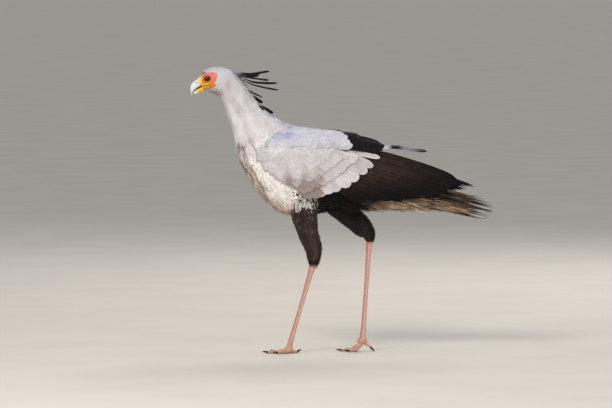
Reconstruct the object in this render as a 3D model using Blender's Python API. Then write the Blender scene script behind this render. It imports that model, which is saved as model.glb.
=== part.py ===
"""A secretary bird in mid stride, life size, as still solids that meet face to face.

Metres, +Z up. The bird walks towards -X and its left side is at -Y. It stands on the floor, z = 0.
"""

import math
import random

import bmesh
import bpy
from mathutils import Matrix, Vector

GAP = 0.0003                # between pieces that meet
BODY_SIDES = 20             # points round a section of the body
SIDEWAYS = Vector((0, 1, 0))
SIDES = {"left": -1, "right": 1}

# Sections of the body from the face to the tail's root:
# dorsal x and z, ventral x and z, half width.
BODY = (
    (-0.4215, 0.8310, -0.4140, 0.7860, 0.0140),
    (-0.4110, 0.8460, -0.3990, 0.7845, 0.0215),
    (-0.3930, 0.8550, -0.3840, 0.7830, 0.0270),
    (-0.3690, 0.8580, -0.3705, 0.7770, 0.0305),
    (-0.3390, 0.8520, -0.3600, 0.7650, 0.0315),
    (-0.3110, 0.8340, -0.3510, 0.7470, 0.0305),
    (-0.2880, 0.8070, -0.3435, 0.7260, 0.0305),
    (-0.2670, 0.7770, -0.3360, 0.7035, 0.0335),
    (-0.2430, 0.7470, -0.3270, 0.6780, 0.0385),
    (-0.2130, 0.7170, -0.3195, 0.6480, 0.0455),
    (-0.1800, 0.6960, -0.3120, 0.6150, 0.0545),
    (-0.1470, 0.6810, -0.2970, 0.5730, 0.0630),
    (-0.1140, 0.6735, -0.2730, 0.5280, 0.0690),
    (-0.0840, 0.6700, -0.2400, 0.4770, 0.0715),
    (-0.0480, 0.6650, -0.1860, 0.4290, 0.0710),
    (-0.0120, 0.6590, -0.1140, 0.4170, 0.0670),
    (0.0240, 0.6520, -0.0330, 0.4290, 0.0590),
    (0.0600, 0.6360, 0.0390, 0.4440, 0.0480),
    (0.0960, 0.6080, 0.1050, 0.4450, 0.0370),
    (0.1290, 0.5760, 0.1560, 0.4440, 0.0280),
    (0.1770, 0.5370, 0.2130, 0.4430, 0.0200),
    (0.2250, 0.5050, 0.2610, 0.4500, 0.0110),
)
HEAD_END, NECK_END, TORSO_END = 6, 10, 18
BODY_SQUARENESS = 2.3

# The sheet on which the folded wing's feathers lie, section by section down its length:
# x, top z, bottom z, half width.
WING_SHEET = (
    (-0.258, 0.711, 0.471, 0.0620),
    (-0.213, 0.700, 0.441, 0.0740),
    (-0.168, 0.6855, 0.420, 0.0820),
    (-0.123, 0.678, 0.411, 0.0860),
    (-0.063, 0.672, 0.411, 0.0860),
    (-0.003, 0.6710, 0.420, 0.0800),
    (0.057, 0.6630, 0.432, 0.0700),
    (0.117, 0.6400, 0.438, 0.0590),
    (0.177, 0.614, 0.435, 0.0490),
    (0.237, 0.600, 0.429, 0.0450),
    (0.297, 0.588, 0.423, 0.0420),
    (0.357, 0.576, 0.417, 0.0390),
    (0.430, 0.562, 0.411, 0.0320),
)
SHEET_SQUARENESS = 2.5

# Outline of the wing's fleshy arm on that sheet: x, upper edge z, lower edge z.
ARM = (
    (-0.2500, 0.5900, 0.5780),
    (-0.2420, 0.6140, 0.5570),
    (-0.2190, 0.6380, 0.5370),
    (-0.1830, 0.6530, 0.5160),
    (-0.1380, 0.6600, 0.4950),
    (-0.0930, 0.6610, 0.4830),
    (-0.0480, 0.6570, 0.4830),
    (-0.0030, 0.6460, 0.5010),
    (0.0330, 0.6240, 0.5310),
)

# Bill, ring by ring from the face to its tip: top x and z, bottom x and z, half width.
BILL_UPPER = (
    (-0.4218, 0.8310, -0.4166, 0.8008, 0.0125),
    (-0.4326, 0.8205, -0.4230, 0.7980, 0.0098),
    (-0.4425, 0.8130, -0.4315, 0.7935, 0.0078),
    (-0.4494, 0.8040, -0.4383, 0.7885, 0.0058),
    (-0.4518, 0.7935, -0.4430, 0.7835, 0.0038),
    (-0.4506, 0.7820, -0.4456, 0.7790, 0.0021),
    (-0.4484, 0.7735, -0.4470, 0.7730, 0.0008),
)
BILL_LOWER = (
    (-0.4166, 0.7996, -0.4143, 0.7860, 0.0115),
    (-0.4245, 0.7945, -0.4221, 0.7818, 0.0086),
    (-0.4326, 0.7895, -0.4311, 0.7772, 0.0062),
    (-0.4385, 0.7845, -0.4372, 0.7762, 0.0040),
    (-0.4418, 0.7797, -0.4412, 0.7768, 0.0016),
)
NOSTRIL = (-0.4335, 0.0092, 0.8110)
NOSTRIL_SIZE = (0.0030, 0.0022, 0.0014)
MOUTH = ((-0.4150, 0.8003), (-0.4050, 0.8035), (-0.3950, 0.8045), (-0.3850, 0.8030))

MOUTH_GROOVE = (0.0008, 0.0014)     # half its height and half its depth

EYE = (-0.4005, 0.0160, 0.8228)
EYE_RADIUS = 0.0105
LID_LENGTH, LID_HEIGHT = 0.0085, 0.0075     # from the eye's middle to the middle of the rim
LID_HALF, LID_THICK = 0.0022, 0.0016
LID_OUT = 0.0078            # how far the rim lies out from the eye's middle
LID_SLANT = 0.10            # the face widens towards the back
BROW = (-0.0020, 0.0040, 0.0115)    # its middle, seen from the eye's middle
BROW_SIZE = (0.0120, 0.0050, 0.0032)

# Crest feathers, each one of a pair: root, bend and tip as x, z and y, then half width.
CREST_OF_HEAD = (
    ((-0.336, 0.836, 0.004), (-0.285, 0.8435, 0.007), (-0.216, 0.845, 0.010), 0.0070),
    ((-0.340, 0.828, 0.012), (-0.300, 0.8330, 0.018), (-0.248, 0.833, 0.024), 0.0070),
    ((-0.330, 0.828, 0.008), (-0.285, 0.8300, 0.012), (-0.216, 0.821, 0.018), 0.0065),
    ((-0.322, 0.826, 0.004), (-0.270, 0.8170, 0.006), (-0.189, 0.8075, 0.009), 0.0070),
    ((-0.322, 0.820, 0.014), (-0.290, 0.8130, 0.020), (-0.252, 0.800, 0.026), 0.0070),
    ((-0.316, 0.822, 0.006), (-0.268, 0.8050, 0.010), (-0.1875, 0.786, 0.015), 0.0070),
)
CREST_OF_NECK = (
    ((-0.295, 0.782, 0.014), (-0.266, 0.7790, 0.018), (-0.233, 0.767, 0.024), 0.0070),
    ((-0.290, 0.785, 0.006), (-0.262, 0.7710, 0.009), (-0.230, 0.750, 0.013), 0.0100),
    ((-0.275, 0.762, 0.007), (-0.242, 0.7450, 0.011), (-0.204, 0.7140, 0.016), 0.0085),
)
CREST_ROLL = 25             # degrees

# Tiers of the wing's feathers: where the roots and the tips run, from the back downwards,
# as x and z; then count, half width, depth under the sheet, depth added at the root, lean of the
# edges, depth added from one feather to the next, bow and shape.
WING_TIERS = {
    "scapulars": dict(
        roots=((-0.125, 0.643), (-0.115, 0.620)),
        tips=((-0.010, 0.650), (0.004, 0.620)),
        count=3, half=0.0145, depth=-0.0026, sink=0.0064, lean=0.0014, step=0.0, bow=0.0, shape="covert",
    ),
    "tertials": dict(
        roots=((-0.035, 0.656), (-0.030, 0.619)),
        tips=((0.131, 0.626), (0.121, 0.592)),
        count=4, half=0.0135, depth=-0.0010, sink=0.004, lean=0.0016, step=0.0, bow=0.006, shape="long",
    ),
    "median coverts": dict(
        roots=((-0.075, 0.630), (-0.115, 0.590), (-0.175, 0.545)),
        tips=((0.030, 0.588), (0.012, 0.543), (-0.033, 0.507), (-0.096, 0.488)),
        count=6, half=0.0165, depth=-0.0014, sink=0.004, lean=0.0012, step=0.0, bow=0.0, shape="covert",
    ),
    "greater coverts": dict(
        roots=((-0.021, 0.620), (-0.060, 0.565), (-0.110, 0.515)),
        tips=((0.114, 0.588), (0.076, 0.545), (0.045, 0.517), (-0.010, 0.487), (-0.078, 0.4725)),
        count=8, half=0.0185, depth=0.0028, sink=0.004, lean=0.0014, step=0.0, bow=0.002, shape="covert",
    ),
    "secondaries": dict(
        roots=((0.018, 0.608), (-0.020, 0.552), (-0.069, 0.503)),
        tips=((0.345, 0.517), (0.312, 0.487), (0.240, 0.467), (0.150, 0.459), (0.057, 0.459)),
        count=8, half=0.0190, depth=0.0068, sink=0.004, lean=0.0016, step=0.0, bow=0.012, shape="long",
    ),
    "primaries": dict(
        roots=((0.006, 0.570), (-0.020, 0.530)),
        tips=((0.396, 0.500), (0.366, 0.490), (0.330, 0.478)),
        count=4, half=0.0125, depth=0.0108, sink=0.004, lean=0.0010, step=0.0012, bow=0.014, shape="pointed",
    ),
}
# Width along a feather: share of its length, share of its full width.
SHAPES = {
    "covert": ((0.0, 0.45), (0.42, 1.0), (0.82, 0.92), (1.0, 0.38)),
    "long": ((0.0, 0.35), (0.30, 0.92), (0.65, 1.0), (0.92, 0.78), (1.0, 0.26)),
    "pointed": ((0.0, 0.40), (0.35, 0.98), (0.75, 0.88), (1.0, 0.16)),
    "plume": ((0.0, 0.28), (0.40, 0.45), (0.78, 1.0), (1.0, 0.34)),
}
WEB = 0.0006                # thickness of a vane
SHAFT_RISE = 0.0003         # how far its shaft stands out along the middle
ARM_REACH = 0.034           # how far the arm's pad reaches in from the sheet, into the body
ARM_SUNK = 0.0010           # depth of the pad's face under the sheet
ARM_ROUNDING = 0.0040       # depth added at its rim

# Tail feathers: root x and z, tip x and z, y of the root and tip, roll in degrees.
TAIL_FEATHERS = (
    ((0.175, 0.513), (0.411, 0.468), 0.010, 0.012, 8),
    ((0.178, 0.500), (0.432, 0.455), 0.010, 0.015, 48),
    ((0.181, 0.487), (0.441, 0.438), 0.010, 0.019, 55),
    ((0.184, 0.474), (0.450, 0.421), 0.009, 0.023, 60),
    ((0.187, 0.461), (0.424, 0.411), 0.008, 0.027, 64),
)
TAIL_HALF = 0.0155
TOP_PAIR_HALF = 0.0115      # of the pair that lies nearly flat on top
CENTRAL_PAIR = ((0.110, 0.574, 0.008), (0.150, 0.604, 0.009), (0.200, 0.6115, 0.010), (0.256, 0.6045, 0.011))
CENTRAL_PAIR_HALF, CENTRAL_PAIR_ROLL = 0.0085, 26
UNDERTAIL = (
    ((0.114, 0.462), (0.204, 0.430), 0.018, 0.020, 70),
    ((0.135, 0.460), (0.240, 0.428), 0.012, 0.012, 78),
    ((0.165, 0.458), (0.276, 0.432), 0.010, 0.014, 70),
    ((0.195, 0.458), (0.305, 0.436), 0.007, 0.010, 74),
)
UNDERTAIL_HALF = 0.0130

# Legs, from the hip down: x, z, y, then half width from front to back and from side to side.
THIGHS = {
    "left": (
        (-0.111, 0.501, 0.036, 0.042, 0.024),
        (-0.108, 0.459, 0.040, 0.041, 0.025),
        (-0.110, 0.415, 0.043, 0.038, 0.025),
        (-0.0985, 0.363, 0.042, 0.0295, 0.0210),
        (-0.0840, 0.318, 0.040, 0.0255, 0.0190),
        (-0.0810, 0.291, 0.039, 0.0205, 0.0160),
        (-0.0820, 0.273, 0.038, 0.0140, 0.0125),
    ),
    "right": (
        (-0.052, 0.489, 0.034, 0.036, 0.023),
        (-0.022, 0.452, 0.036, 0.036, 0.023),
        (0.011, 0.424, 0.036, 0.034, 0.023),
        (0.038, 0.400, 0.036, 0.032, 0.022),
        (0.066, 0.3745, 0.036, 0.0295, 0.0200),
        (0.0820, 0.3560, 0.036, 0.0210, 0.0160),
        (0.0865, 0.3420, 0.036, 0.0140, 0.0125),
    ),
}
# Bare legs: ankle and toe joint, as x, z and y.
TARSI = {
    "left": ((-0.0820, 0.2727, 0.038), (-0.1560, 0.0170, 0.033)),
    "right": ((0.0865, 0.3417, 0.036), (0.0660, 0.0400, 0.031)),
}
# Along the bare leg: share of its length, half width from front to back and from side to side.
TARSUS_SIZES = (
    (0.00, 0.0108, 0.0098),
    (0.07, 0.0098, 0.0085),
    (0.16, 0.0074, 0.0066),
    (0.50, 0.0066, 0.0058),
    (0.86, 0.0070, 0.0064),
    (0.95, 0.0085, 0.0085),
)
TARSUS_SCUTES = 11
SCUTE_STEP = 0.0007

# Toes: length, turn from straight ahead towards the midline in degrees, radius at root and tip.
TOES = {
    "middle": (0.064, 0, 0.0068, 0.0050),
    "inner": (0.047, 34, 0.0062, 0.0046),
    "outer": (0.046, -34, 0.0060, 0.0045),
    "hind": (0.025, 165, 0.0054, 0.0042),
}
TOE_SCUTE = 0.0100          # length of a scute on a toe
PAD_SIZE = (0.0165, 0.0145, 0.0125)
SPLAY = 6                   # degrees by which each foot points away from the midline
HEEL_LIFT = {"left": 0.0, "right": 0.023}
FLAT_DEPTH = 0.0010         # what the floor takes off the underside of a toe
# Claw: reach ahead of the toe's end, rise over it and radius.
CLAW = (
    (GAP, 0.0, 0.0034),
    (0.006, 0.0, 0.0032),
    (0.012, -0.0006, 0.0023),
    (0.0175, -0.0023, 0.0010),
)
CLAW_CLEARANCE = 0.0042     # height of the claw's middle where it leaves the toe

def clear_scene():
    for obj in list(bpy.data.objects):
        bpy.data.objects.remove(obj)


def material(name, colour, roughness, metallic=0.0):
    made = bpy.data.materials.new(name)
    made.use_nodes = True
    shader = made.node_tree.nodes["Principled BSDF"]
    shader.inputs["Base Color"].default_value = (*colour, 1.0)
    shader.inputs["Roughness"].default_value = roughness
    shader.inputs["Metallic"].default_value = metallic
    return made


def between(rows, place):
    """The row at that place of a table, on a smooth curve through its rows."""
    last = len(rows) - 1
    place = min(max(place, 0.0), float(last))
    i = min(int(place), last - 1)
    f = place - i
    four = (rows[max(i - 1, 0)], rows[i], rows[i + 1], rows[min(i + 2, last)])
    made = []
    for a, b, c, d in zip(*four):
        linear = (c - a) * f
        square = (2 * a - 5 * b + 4 * c - d) * f * f
        cube = (3 * b - a - 3 * c + d) * f * f * f
        made.append(0.5 * (2 * b + linear + square + cube))
    return made


def at_x(rows, x):
    """The row of a table whose first column is x."""
    i = 0
    while i < len(rows) - 2 and rows[i + 1][0] < x:
        i += 1
    share = (x - rows[i][0]) / (rows[i + 1][0] - rows[i][0])
    return between(rows, i + share)


def section(centre, up, side, half_up, half_side, squareness=2.0, count=BODY_SIDES):
    """Points of a rounded section, from its top round towards its side."""
    points = []
    for k in range(count):
        angle = 2 * math.pi * k / count
        c = math.cos(angle)
        s = math.sin(angle)
        rise = half_up * math.copysign(abs(c) ** (2 / squareness), c)
        reach = half_side * math.copysign(abs(s) ** (2 / squareness), s)
        points.append(centre + up * rise + side * reach)
    return points


def new_object(name, mesh, finish):
    """A bmesh made into an object, with its faces pointing out."""
    bmesh.ops.recalc_face_normals(mesh, faces=mesh.faces)
    data = bpy.data.meshes.new(name)
    mesh.to_mesh(data)
    mesh.free()
    data.materials.append(finish)
    return bpy.data.objects.new(name, data)


def loft(name, rings, finish):
    """A closed skin over rings of points, with flat ends."""
    mesh = bmesh.new()
    loops = [[mesh.verts.new(point) for point in ring] for ring in rings]
    for first, second in zip(loops, loops[1:]):
        for i in range(len(first)):
            j = (i + 1) % len(first)
            mesh.faces.new((first[i], first[j], second[j]))
            mesh.faces.new((first[i], second[j], second[i]))
    mesh.faces.new(loops[0])
    mesh.faces.new(loops[-1])
    return new_object(name, mesh, finish)


def apply_modifiers(obj):
    graph = bpy.context.evaluated_depsgraph_get()
    made = bpy.data.meshes.new_from_object(obj.evaluated_get(graph))
    obj.modifiers.clear()
    old = obj.data
    obj.data = made
    bpy.data.meshes.remove(old)


def keep_largest(obj):
    """Drops every closed surface of the object but its largest."""
    mesh = bmesh.new()
    mesh.from_mesh(obj.data)
    left = set(mesh.faces)
    groups = []
    while left:
        stack = [left.pop()]
        group = []
        while stack:
            face = stack.pop()
            group.append(face)
            for edge in face.edges:
                for other in edge.link_faces:
                    if other in left:
                        left.remove(other)
                        stack.append(other)
        groups.append(group)
    groups.sort(key=len)
    for group in groups[:-1]:
        bmesh.ops.delete(mesh, geom=group, context="FACES")
    mesh.to_mesh(obj.data)
    mesh.free()


def combine(obj, others, operation):
    """Joins the other solids to the object, or cuts them from it, and removes them.

    The exact solver takes minutes over this many crossing vanes, so the manifold one does it.
    """
    scene = bpy.context.scene.collection
    scene.objects.link(obj)
    group = bpy.data.collections.new(obj.name + " pieces")
    scene.children.link(group)
    for other in others:
        group.objects.link(other)
    step = obj.modifiers.new(operation, "BOOLEAN")
    step.operation = operation
    step.operand_type = "COLLECTION"
    step.collection = group
    step.solver = "MANIFOLD"
    apply_modifiers(obj)
    for other in others:
        bpy.data.objects.remove(other)
    bpy.data.collections.remove(group)
    scene.objects.unlink(obj)
    keep_largest(obj)


def body_section(place, grow=0.0, shift=0.0):
    """The body's section at that place of the table, moved down the body by shift."""
    top_x, top_z, low_x, low_z, half = between(BODY, place)
    top = Vector((top_x, 0, top_z))
    low = Vector((low_x, 0, low_z))
    up = (top - low).normalized()
    centre = (top + low) / 2 + SIDEWAYS.cross(up) * shift
    tall = (top - low).length / 2 + grow
    return section(centre, up, SIDEWAYS, tall, half + grow, BODY_SQUARENESS)


def body_piece(name, first, last, finish, per_row=2, grow=0.0):
    """The body between two rows of its table, half the gap short of each."""
    steps = (last - first) * per_row
    rings = []
    for i in range(steps + 1):
        shift = (GAP / 2 if i == 0 else 0.0) - (GAP / 2 if i == steps else 0.0)
        rings.append(body_section(first + i / per_row, grow, shift))
    return loft(name, rings, finish)


def sheet_row(x):
    top, bottom, half = at_x(WING_SHEET, x)[1:]
    return (top + bottom) / 2, (top - bottom) / 2, half


def sheet_normal(point, sign):
    """The way out of the wing's sheet near a point, on the side of that sign."""
    step = 0.002

    def level(x, y, z):
        middle, tall, half = sheet_row(x)
        across = abs(y) / half
        rise = abs(z - middle) / tall
        return across ** SHEET_SQUARENESS + rise ** SHEET_SQUARENESS

    x, y, z = point
    slope = Vector((
        level(x + step, y, z) - level(x - step, y, z),
        level(x, y + step, z) - level(x, y - step, z),
        level(x, y, z + step) - level(x, y, z - step),
    ))
    return slope.normalized()


def onto_sheet(point, sign, out=0.0):
    """The point moved onto the wing's sheet, and then out from it."""
    x, y, z = point
    middle, tall, half = sheet_row(x)
    across = max(y * sign / half, 0.03)
    rise = (z - middle) / tall
    power = SHEET_SQUARENESS
    far = (across ** power + abs(rise) ** power) ** (1 / power)
    on = Vector((x, sign * half * across / far, middle + tall * rise / far))
    return on + sheet_normal(on, sign) * out


def beside(x, z, sign, out=0.0):
    """The point of the wing's sheet that shows at x and z from the side."""
    middle, tall, half = sheet_row(x)
    rise = min(abs(z - middle) / tall, 0.995)
    across = half * (1 - rise ** SHEET_SQUARENESS) ** (1 / SHEET_SQUARENESS)
    height = middle + math.copysign(rise, z - middle) * tall
    on = Vector((x, sign * across, height))
    return on + sheet_normal(on, sign) * out


def arm_of_wing(name, sign, finish, columns=11, rows=7):
    """The wing's fleshy arm: a pad on the sheet, reaching well into the body, which cuts it later."""
    mesh = bmesh.new()
    outer = []
    inner = []
    for i in range(columns):
        x, upper, lower = between(ARM, (len(ARM) - 1) * i / (columns - 1))
        outer_row = []
        inner_row = []
        for j in range(rows):
            share = j / (rows - 1)
            z = upper + (lower - upper) * share
            rim = min(1.0, 3.2 * share, 3.2 * (1 - share), 5 * i / (columns - 1))
            depth = ARM_SUNK + ARM_ROUNDING * (1 - rim)
            outer_row.append(mesh.verts.new(beside(x, z, sign, -depth)))
            inner_row.append(mesh.verts.new(beside(x, z, sign, -ARM_REACH)))
        outer.append(outer_row)
        inner.append(inner_row)
    for i in range(columns - 1):
        for j in range(rows - 1):
            mesh.faces.new((outer[i][j], outer[i + 1][j], outer[i + 1][j + 1], outer[i][j + 1]))
            mesh.faces.new((inner[i][j], inner[i][j + 1], inner[i + 1][j + 1], inner[i + 1][j]))
        mesh.faces.new((outer[i][0], inner[i][0], inner[i + 1][0], outer[i + 1][0]))
        mesh.faces.new((outer[i][-1], outer[i + 1][-1], inner[i + 1][-1], inner[i][-1]))
    for j in range(rows - 1):
        mesh.faces.new((outer[0][j], outer[0][j + 1], inner[0][j + 1], inner[0][j]))
        mesh.faces.new((outer[-1][j], inner[-1][j], inner[-1][j + 1], outer[-1][j + 1]))
    return new_object(name, mesh, finish)


def tube(name, points, reaches, finish, sides=8, across=SIDEWAYS, steps=None, last_along=None):
    """A bar along points. Reaches are its half widths in its bend's plane and across it.

    Steps stand out on its front, ring by ring. The last section may face a way of its own.
    """
    rings = []
    last = len(points) - 1
    for i, point in enumerate(points):
        along = (points[min(i + 1, last)] - points[max(i - 1, 0)]).normalized()
        if i == last and last_along:
            along = last_along
        up = across.cross(along).normalized()
        side = along.cross(up)
        ring = section(point, up, side, reaches[i][0], reaches[i][1], 2.0, sides)
        if steps:
            for k in range(sides):
                front = max(0.0, math.cos(2 * math.pi * k / sides))
                ring[k] = ring[k] + (ring[k] - point).normalized() * steps[i] * front
        rings.append(ring)
    return loft(name, rings, finish)


def ball(name, centre, radii, finish, around=12, down=8):
    mesh = bmesh.new()
    bmesh.ops.create_uvsphere(mesh, u_segments=around, v_segments=down, radius=1.0)
    bmesh.ops.scale(mesh, vec=radii, verts=mesh.verts)
    bmesh.ops.translate(mesh, vec=centre, verts=mesh.verts)
    return new_object(name, mesh, finish)


def slab_under_floor(finish):
    mesh = bmesh.new()
    bmesh.ops.create_cube(mesh, size=1.0)
    bmesh.ops.translate(mesh, vec=(0, 0, -0.5), verts=mesh.verts)
    return new_object("floor", mesh, finish)


def blade(name, rows, thick, finish):
    """A feather's vane. Each row is its left edge, its shaft, its right edge and the way out."""
    mesh = bmesh.new()
    loops = []
    for left, shaft, right, out in rows:
        down = out * thick
        ring = (left, shaft, right, right - down, shaft - down, left - down)
        loops.append([mesh.verts.new(point) for point in ring])
    leaning = {(0, 1): True, (1, 2): False, (2, 3): True, (3, 4): True, (4, 5): False, (5, 0): True}
    for a, b in zip(loops, loops[1:]):
        for (i, j), rising in leaning.items():
            if rising:
                mesh.faces.new((a[i], a[j], b[j]))
                mesh.faces.new((a[i], b[j], b[i]))
            else:
                mesh.faces.new((a[i], a[j], b[i]))
                mesh.faces.new((a[j], b[j], b[i]))
    for ring in (loops[0], loops[-1]):
        mesh.faces.new((ring[0], ring[1], ring[4], ring[5]))
        mesh.faces.new((ring[1], ring[2], ring[3], ring[4]))
    return new_object(name, mesh, finish)


def laid_feather(name, root, tip, sign, tier, sunk, finish):
    """A feather on the wing's sheet, its lower edge out over the feather below."""
    start = beside(*root, sign)
    end = beside(*tip, sign)
    rows = []
    for share, width in SHAPES[tier["shape"]]:
        here = start.lerp(end, share)
        here.z += tier["bow"] * 4 * share * (1 - share)
        depth = sunk + tier["sink"] * (1 - share) ** 2
        shaft = onto_sheet(here, sign, -depth)
        out = sheet_normal(shaft, sign)
        along = end - start
        upwards = out.cross(along).normalized() * -sign
        reach = upwards * tier["half"] * width
        lean = tier["lean"] * width
        upper = onto_sheet(shaft + reach, sign, -depth - lean)
        lower = onto_sheet(shaft - reach, sign, -depth + lean)
        rows.append((upper, shaft + out * SHAFT_RISE, lower, out))
    return blade(name, rows, WEB, finish)


def tier_of_wing(title, sign, finish, rng):
    tier = WING_TIERS[title]
    made = []
    for i in range(tier["count"]):
        share = i / (tier["count"] - 1)
        root = between(tier["roots"], share * (len(tier["roots"]) - 1))
        tip = between(tier["tips"], share * (len(tier["tips"]) - 1))
        tip[0] += rng.uniform(-0.003, 0.003)
        tip[1] += rng.uniform(-0.001, 0.001)
        sunk = tier["depth"] + tier["step"] * i
        made.append(laid_feather(title, root, tip, sign, tier, sunk, finish))
    return made


def free_feather(name, path, sign, half, shape, roll, finish):
    """A feather on a path of x, z and y, turned about its length by so many degrees."""
    across = Vector((0, sign * math.cos(math.radians(roll)), -math.sin(math.radians(roll))))
    rows = []
    for share, width in SHAPES[shape]:
        place = share * (len(path) - 1)
        x, z, y = between(path, place)
        before = between(path, place - 0.1)
        after = between(path, place + 0.1)
        along = Vector((after[0] - before[0], sign * (after[2] - before[2]), after[1] - before[1]))
        shaft = Vector((x, sign * y, z))
        out = across.cross(along).normalized() * -sign
        flat = along.cross(out).normalized() * sign
        reach = flat * half * width
        rows.append((shaft - reach, shaft + out * SHAFT_RISE, shaft + reach, out))
    return blade(name, rows, WEB, finish)


def crest(rows, finish, rng):
    made = []
    for sign in SIDES.values():
        for root, bend, tip, half in rows:
            drop = rng.uniform(-0.003, 0.003)
            path = (root, bend, (tip[0] + 3 * drop, tip[1] + drop, tip[2]))
            made.append(free_feather("plume", path, sign, half, "plume", CREST_ROLL, finish))
    return made


def beside_body(x, z, sign, out=0.0):
    """The point of the body's side that shows at x and z, and then out from it sideways."""
    low = 0.0
    high = len(BODY) - 1.0
    for _ in range(30):
        middle = (low + high) / 2
        top_x, top_z, low_x, low_z, half = between(BODY, middle)
        if (low_x - top_x) * (z - top_z) - (low_z - top_z) * (x - top_x) > 0:
            low = middle
        else:
            high = middle
    tall = math.hypot(low_x - top_x, low_z - top_z) / 2
    rise = math.hypot(x - (top_x + low_x) / 2, z - (top_z + low_z) / 2) / tall
    across = half * max(0.0, 1 - rise ** BODY_SQUARENESS) ** (1 / BODY_SQUARENESS)
    return Vector((x, sign * (across + out), z))


def bill_piece(name, rows, finish, sides=14, per_row=2):
    rings = []
    steps = (len(rows) - 1) * per_row
    for i in range(steps + 1):
        top_x, top_z, low_x, low_z, half = between(rows, i / per_row)
        top = Vector((top_x, 0, top_z))
        low = Vector((low_x, 0, low_z))
        up = (top - low).normalized()
        rings.append(section((top + low) / 2, up, SIDEWAYS, (top - low).length / 2, half, 2.1, sides))
    return loft(name, rings, finish)


def lid(sign, finish):
    """A rim round the eye, lying along the face."""
    mesh = bmesh.new()
    around = 14
    rim = 4
    loops = []
    for i in range(around):
        angle = 2 * math.pi * i / around
        spoke = Vector((LID_LENGTH * math.cos(angle), 0, LID_HEIGHT * math.sin(angle)))
        loop = []
        for j in range(rim):
            turn = 2 * math.pi * j / rim
            point = Vector(EYE) + spoke * (1 + LID_HALF / LID_LENGTH * math.cos(turn))
            out = LID_OUT + LID_THICK * math.sin(turn) + LID_SLANT * (point.x - EYE[0])
            point.y = sign * (EYE[1] + out)
            loop.append(mesh.verts.new(point))
        loops.append(loop)
    for i in range(around):
        a = loops[i]
        b = loops[(i + 1) % around]
        for j in range(rim):
            k = (j + 1) % rim
            mesh.faces.new((a[j], a[k], b[k], b[j]))
    return new_object("lid", mesh, finish)


def head(finish, rng):
    made = body_piece("head", 0, HEAD_END, finish)
    added = crest(CREST_OF_HEAD, finish, rng)
    cutters = []
    for sign in SIDES.values():
        centre = (EYE[0], sign * EYE[1], EYE[2])
        brow = (EYE[0] + BROW[0], sign * (EYE[1] + BROW[1]), EYE[2] + BROW[2])
        added.append(ball("brow", brow, BROW_SIZE, finish, 10, 6))
        added.append(lid(sign, finish))
        cutters.append(ball("socket", centre, [EYE_RADIUS + GAP] * 3, finish))
        groove = [beside_body(x, z, sign) for x, z in MOUTH]
        cutters.append(tube("mouth", groove, [MOUTH_GROOVE] * len(groove), finish, 6))
    combine(made, added, "UNION")
    combine(made, cutters, "DIFFERENCE")
    return made


def wing(side, sign, finish, rng):
    made = arm_of_wing("wing_" + side, sign, finish)
    feathers = []
    for title in WING_TIERS:
        feathers += tier_of_wing(title, sign, finish, rng)
    combine(made, feathers, "UNION")
    combine(made, [body_piece("cutter", 4, len(BODY) - 1, finish, grow=GAP)], "DIFFERENCE")
    return made


def tail(finish, rng):
    made = body_piece("tail", TORSO_END, len(BODY) - 1, finish)
    added = []
    for sign in SIDES.values():
        for root, tip, root_y, tip_y, roll in TAIL_FEATHERS:
            end = tip[0] + rng.uniform(-0.010, 0.004)
            bend = ((root[0] + end) / 2, (root[1] + tip[1]) / 2 + 0.004, (root_y + tip_y) / 2)
            path = ((*root, root_y), bend, (end, tip[1] + rng.uniform(-0.003, 0.003), tip_y))
            half = TAIL_HALF if roll > 10 else TOP_PAIR_HALF
            added.append(free_feather("tail feather", path, sign, half, "long", roll, finish))
        for root, tip, root_y, tip_y, roll in UNDERTAIL:
            bend = ((root[0] + tip[0]) / 2, (root[1] + tip[1]) / 2 - 0.006, (root_y + tip_y) / 2)
            path = ((*root, root_y), bend, (*tip, tip_y))
            half = UNDERTAIL_HALF
            added.append(free_feather("undertail covert", path, sign, half, "covert", roll, finish))
        half, roll = CENTRAL_PAIR_HALF, CENTRAL_PAIR_ROLL
        added.append(free_feather("central tail feather", CENTRAL_PAIR, sign, half, "long", roll, finish))
    combine(made, added, "UNION")
    return made


def leg_ends(side, sign):
    """The middle of the ankle and of the toe joint."""
    ankle, joint = TARSI[side]
    return Vector((ankle[0], sign * ankle[2], ankle[1])), Vector((joint[0], sign * joint[2], joint[1]))


def thigh(side, sign, finish):
    rows = THIGHS[side]
    points = []
    reaches = []
    steps = (len(rows) - 1) * 2
    for i in range(steps + 1):
        x, z, y, deep, wide = between(rows, i / 2)
        points.append(Vector((x, sign * y, z)))
        reaches.append((deep, wide))
    start, end = leg_ends(side, sign)
    points[-1] = start - (end - start).normalized() * GAP
    made = tube("thigh_" + side, points, reaches, finish, 16, last_along=(end - start).normalized())
    combine(made, [body_piece("cutter", 4, len(BODY) - 1, finish, grow=GAP)], "DIFFERENCE")
    return made


def bare_leg(side, sign):
    """The bare leg's points, half widths and steps down to just above the toe joint."""
    start, end = leg_ends(side, sign)
    points = []
    reaches = []
    steps = []
    shares = [0.0]
    heights = [0.0]
    for i in range(TARSUS_SCUTES):
        first = 0.05 + 0.90 * i / TARSUS_SCUTES
        shares += [first, first + 0.86 / TARSUS_SCUTES]
        heights += [SCUTE_STEP, 0.0]
    for share, height in zip(shares, heights):
        deep, wide = at_x(TARSUS_SIZES, share)[1:]
        points.append(start.lerp(end, share))
        reaches.append((deep, wide))
        steps.append(height)
    return points, reaches, steps


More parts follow.
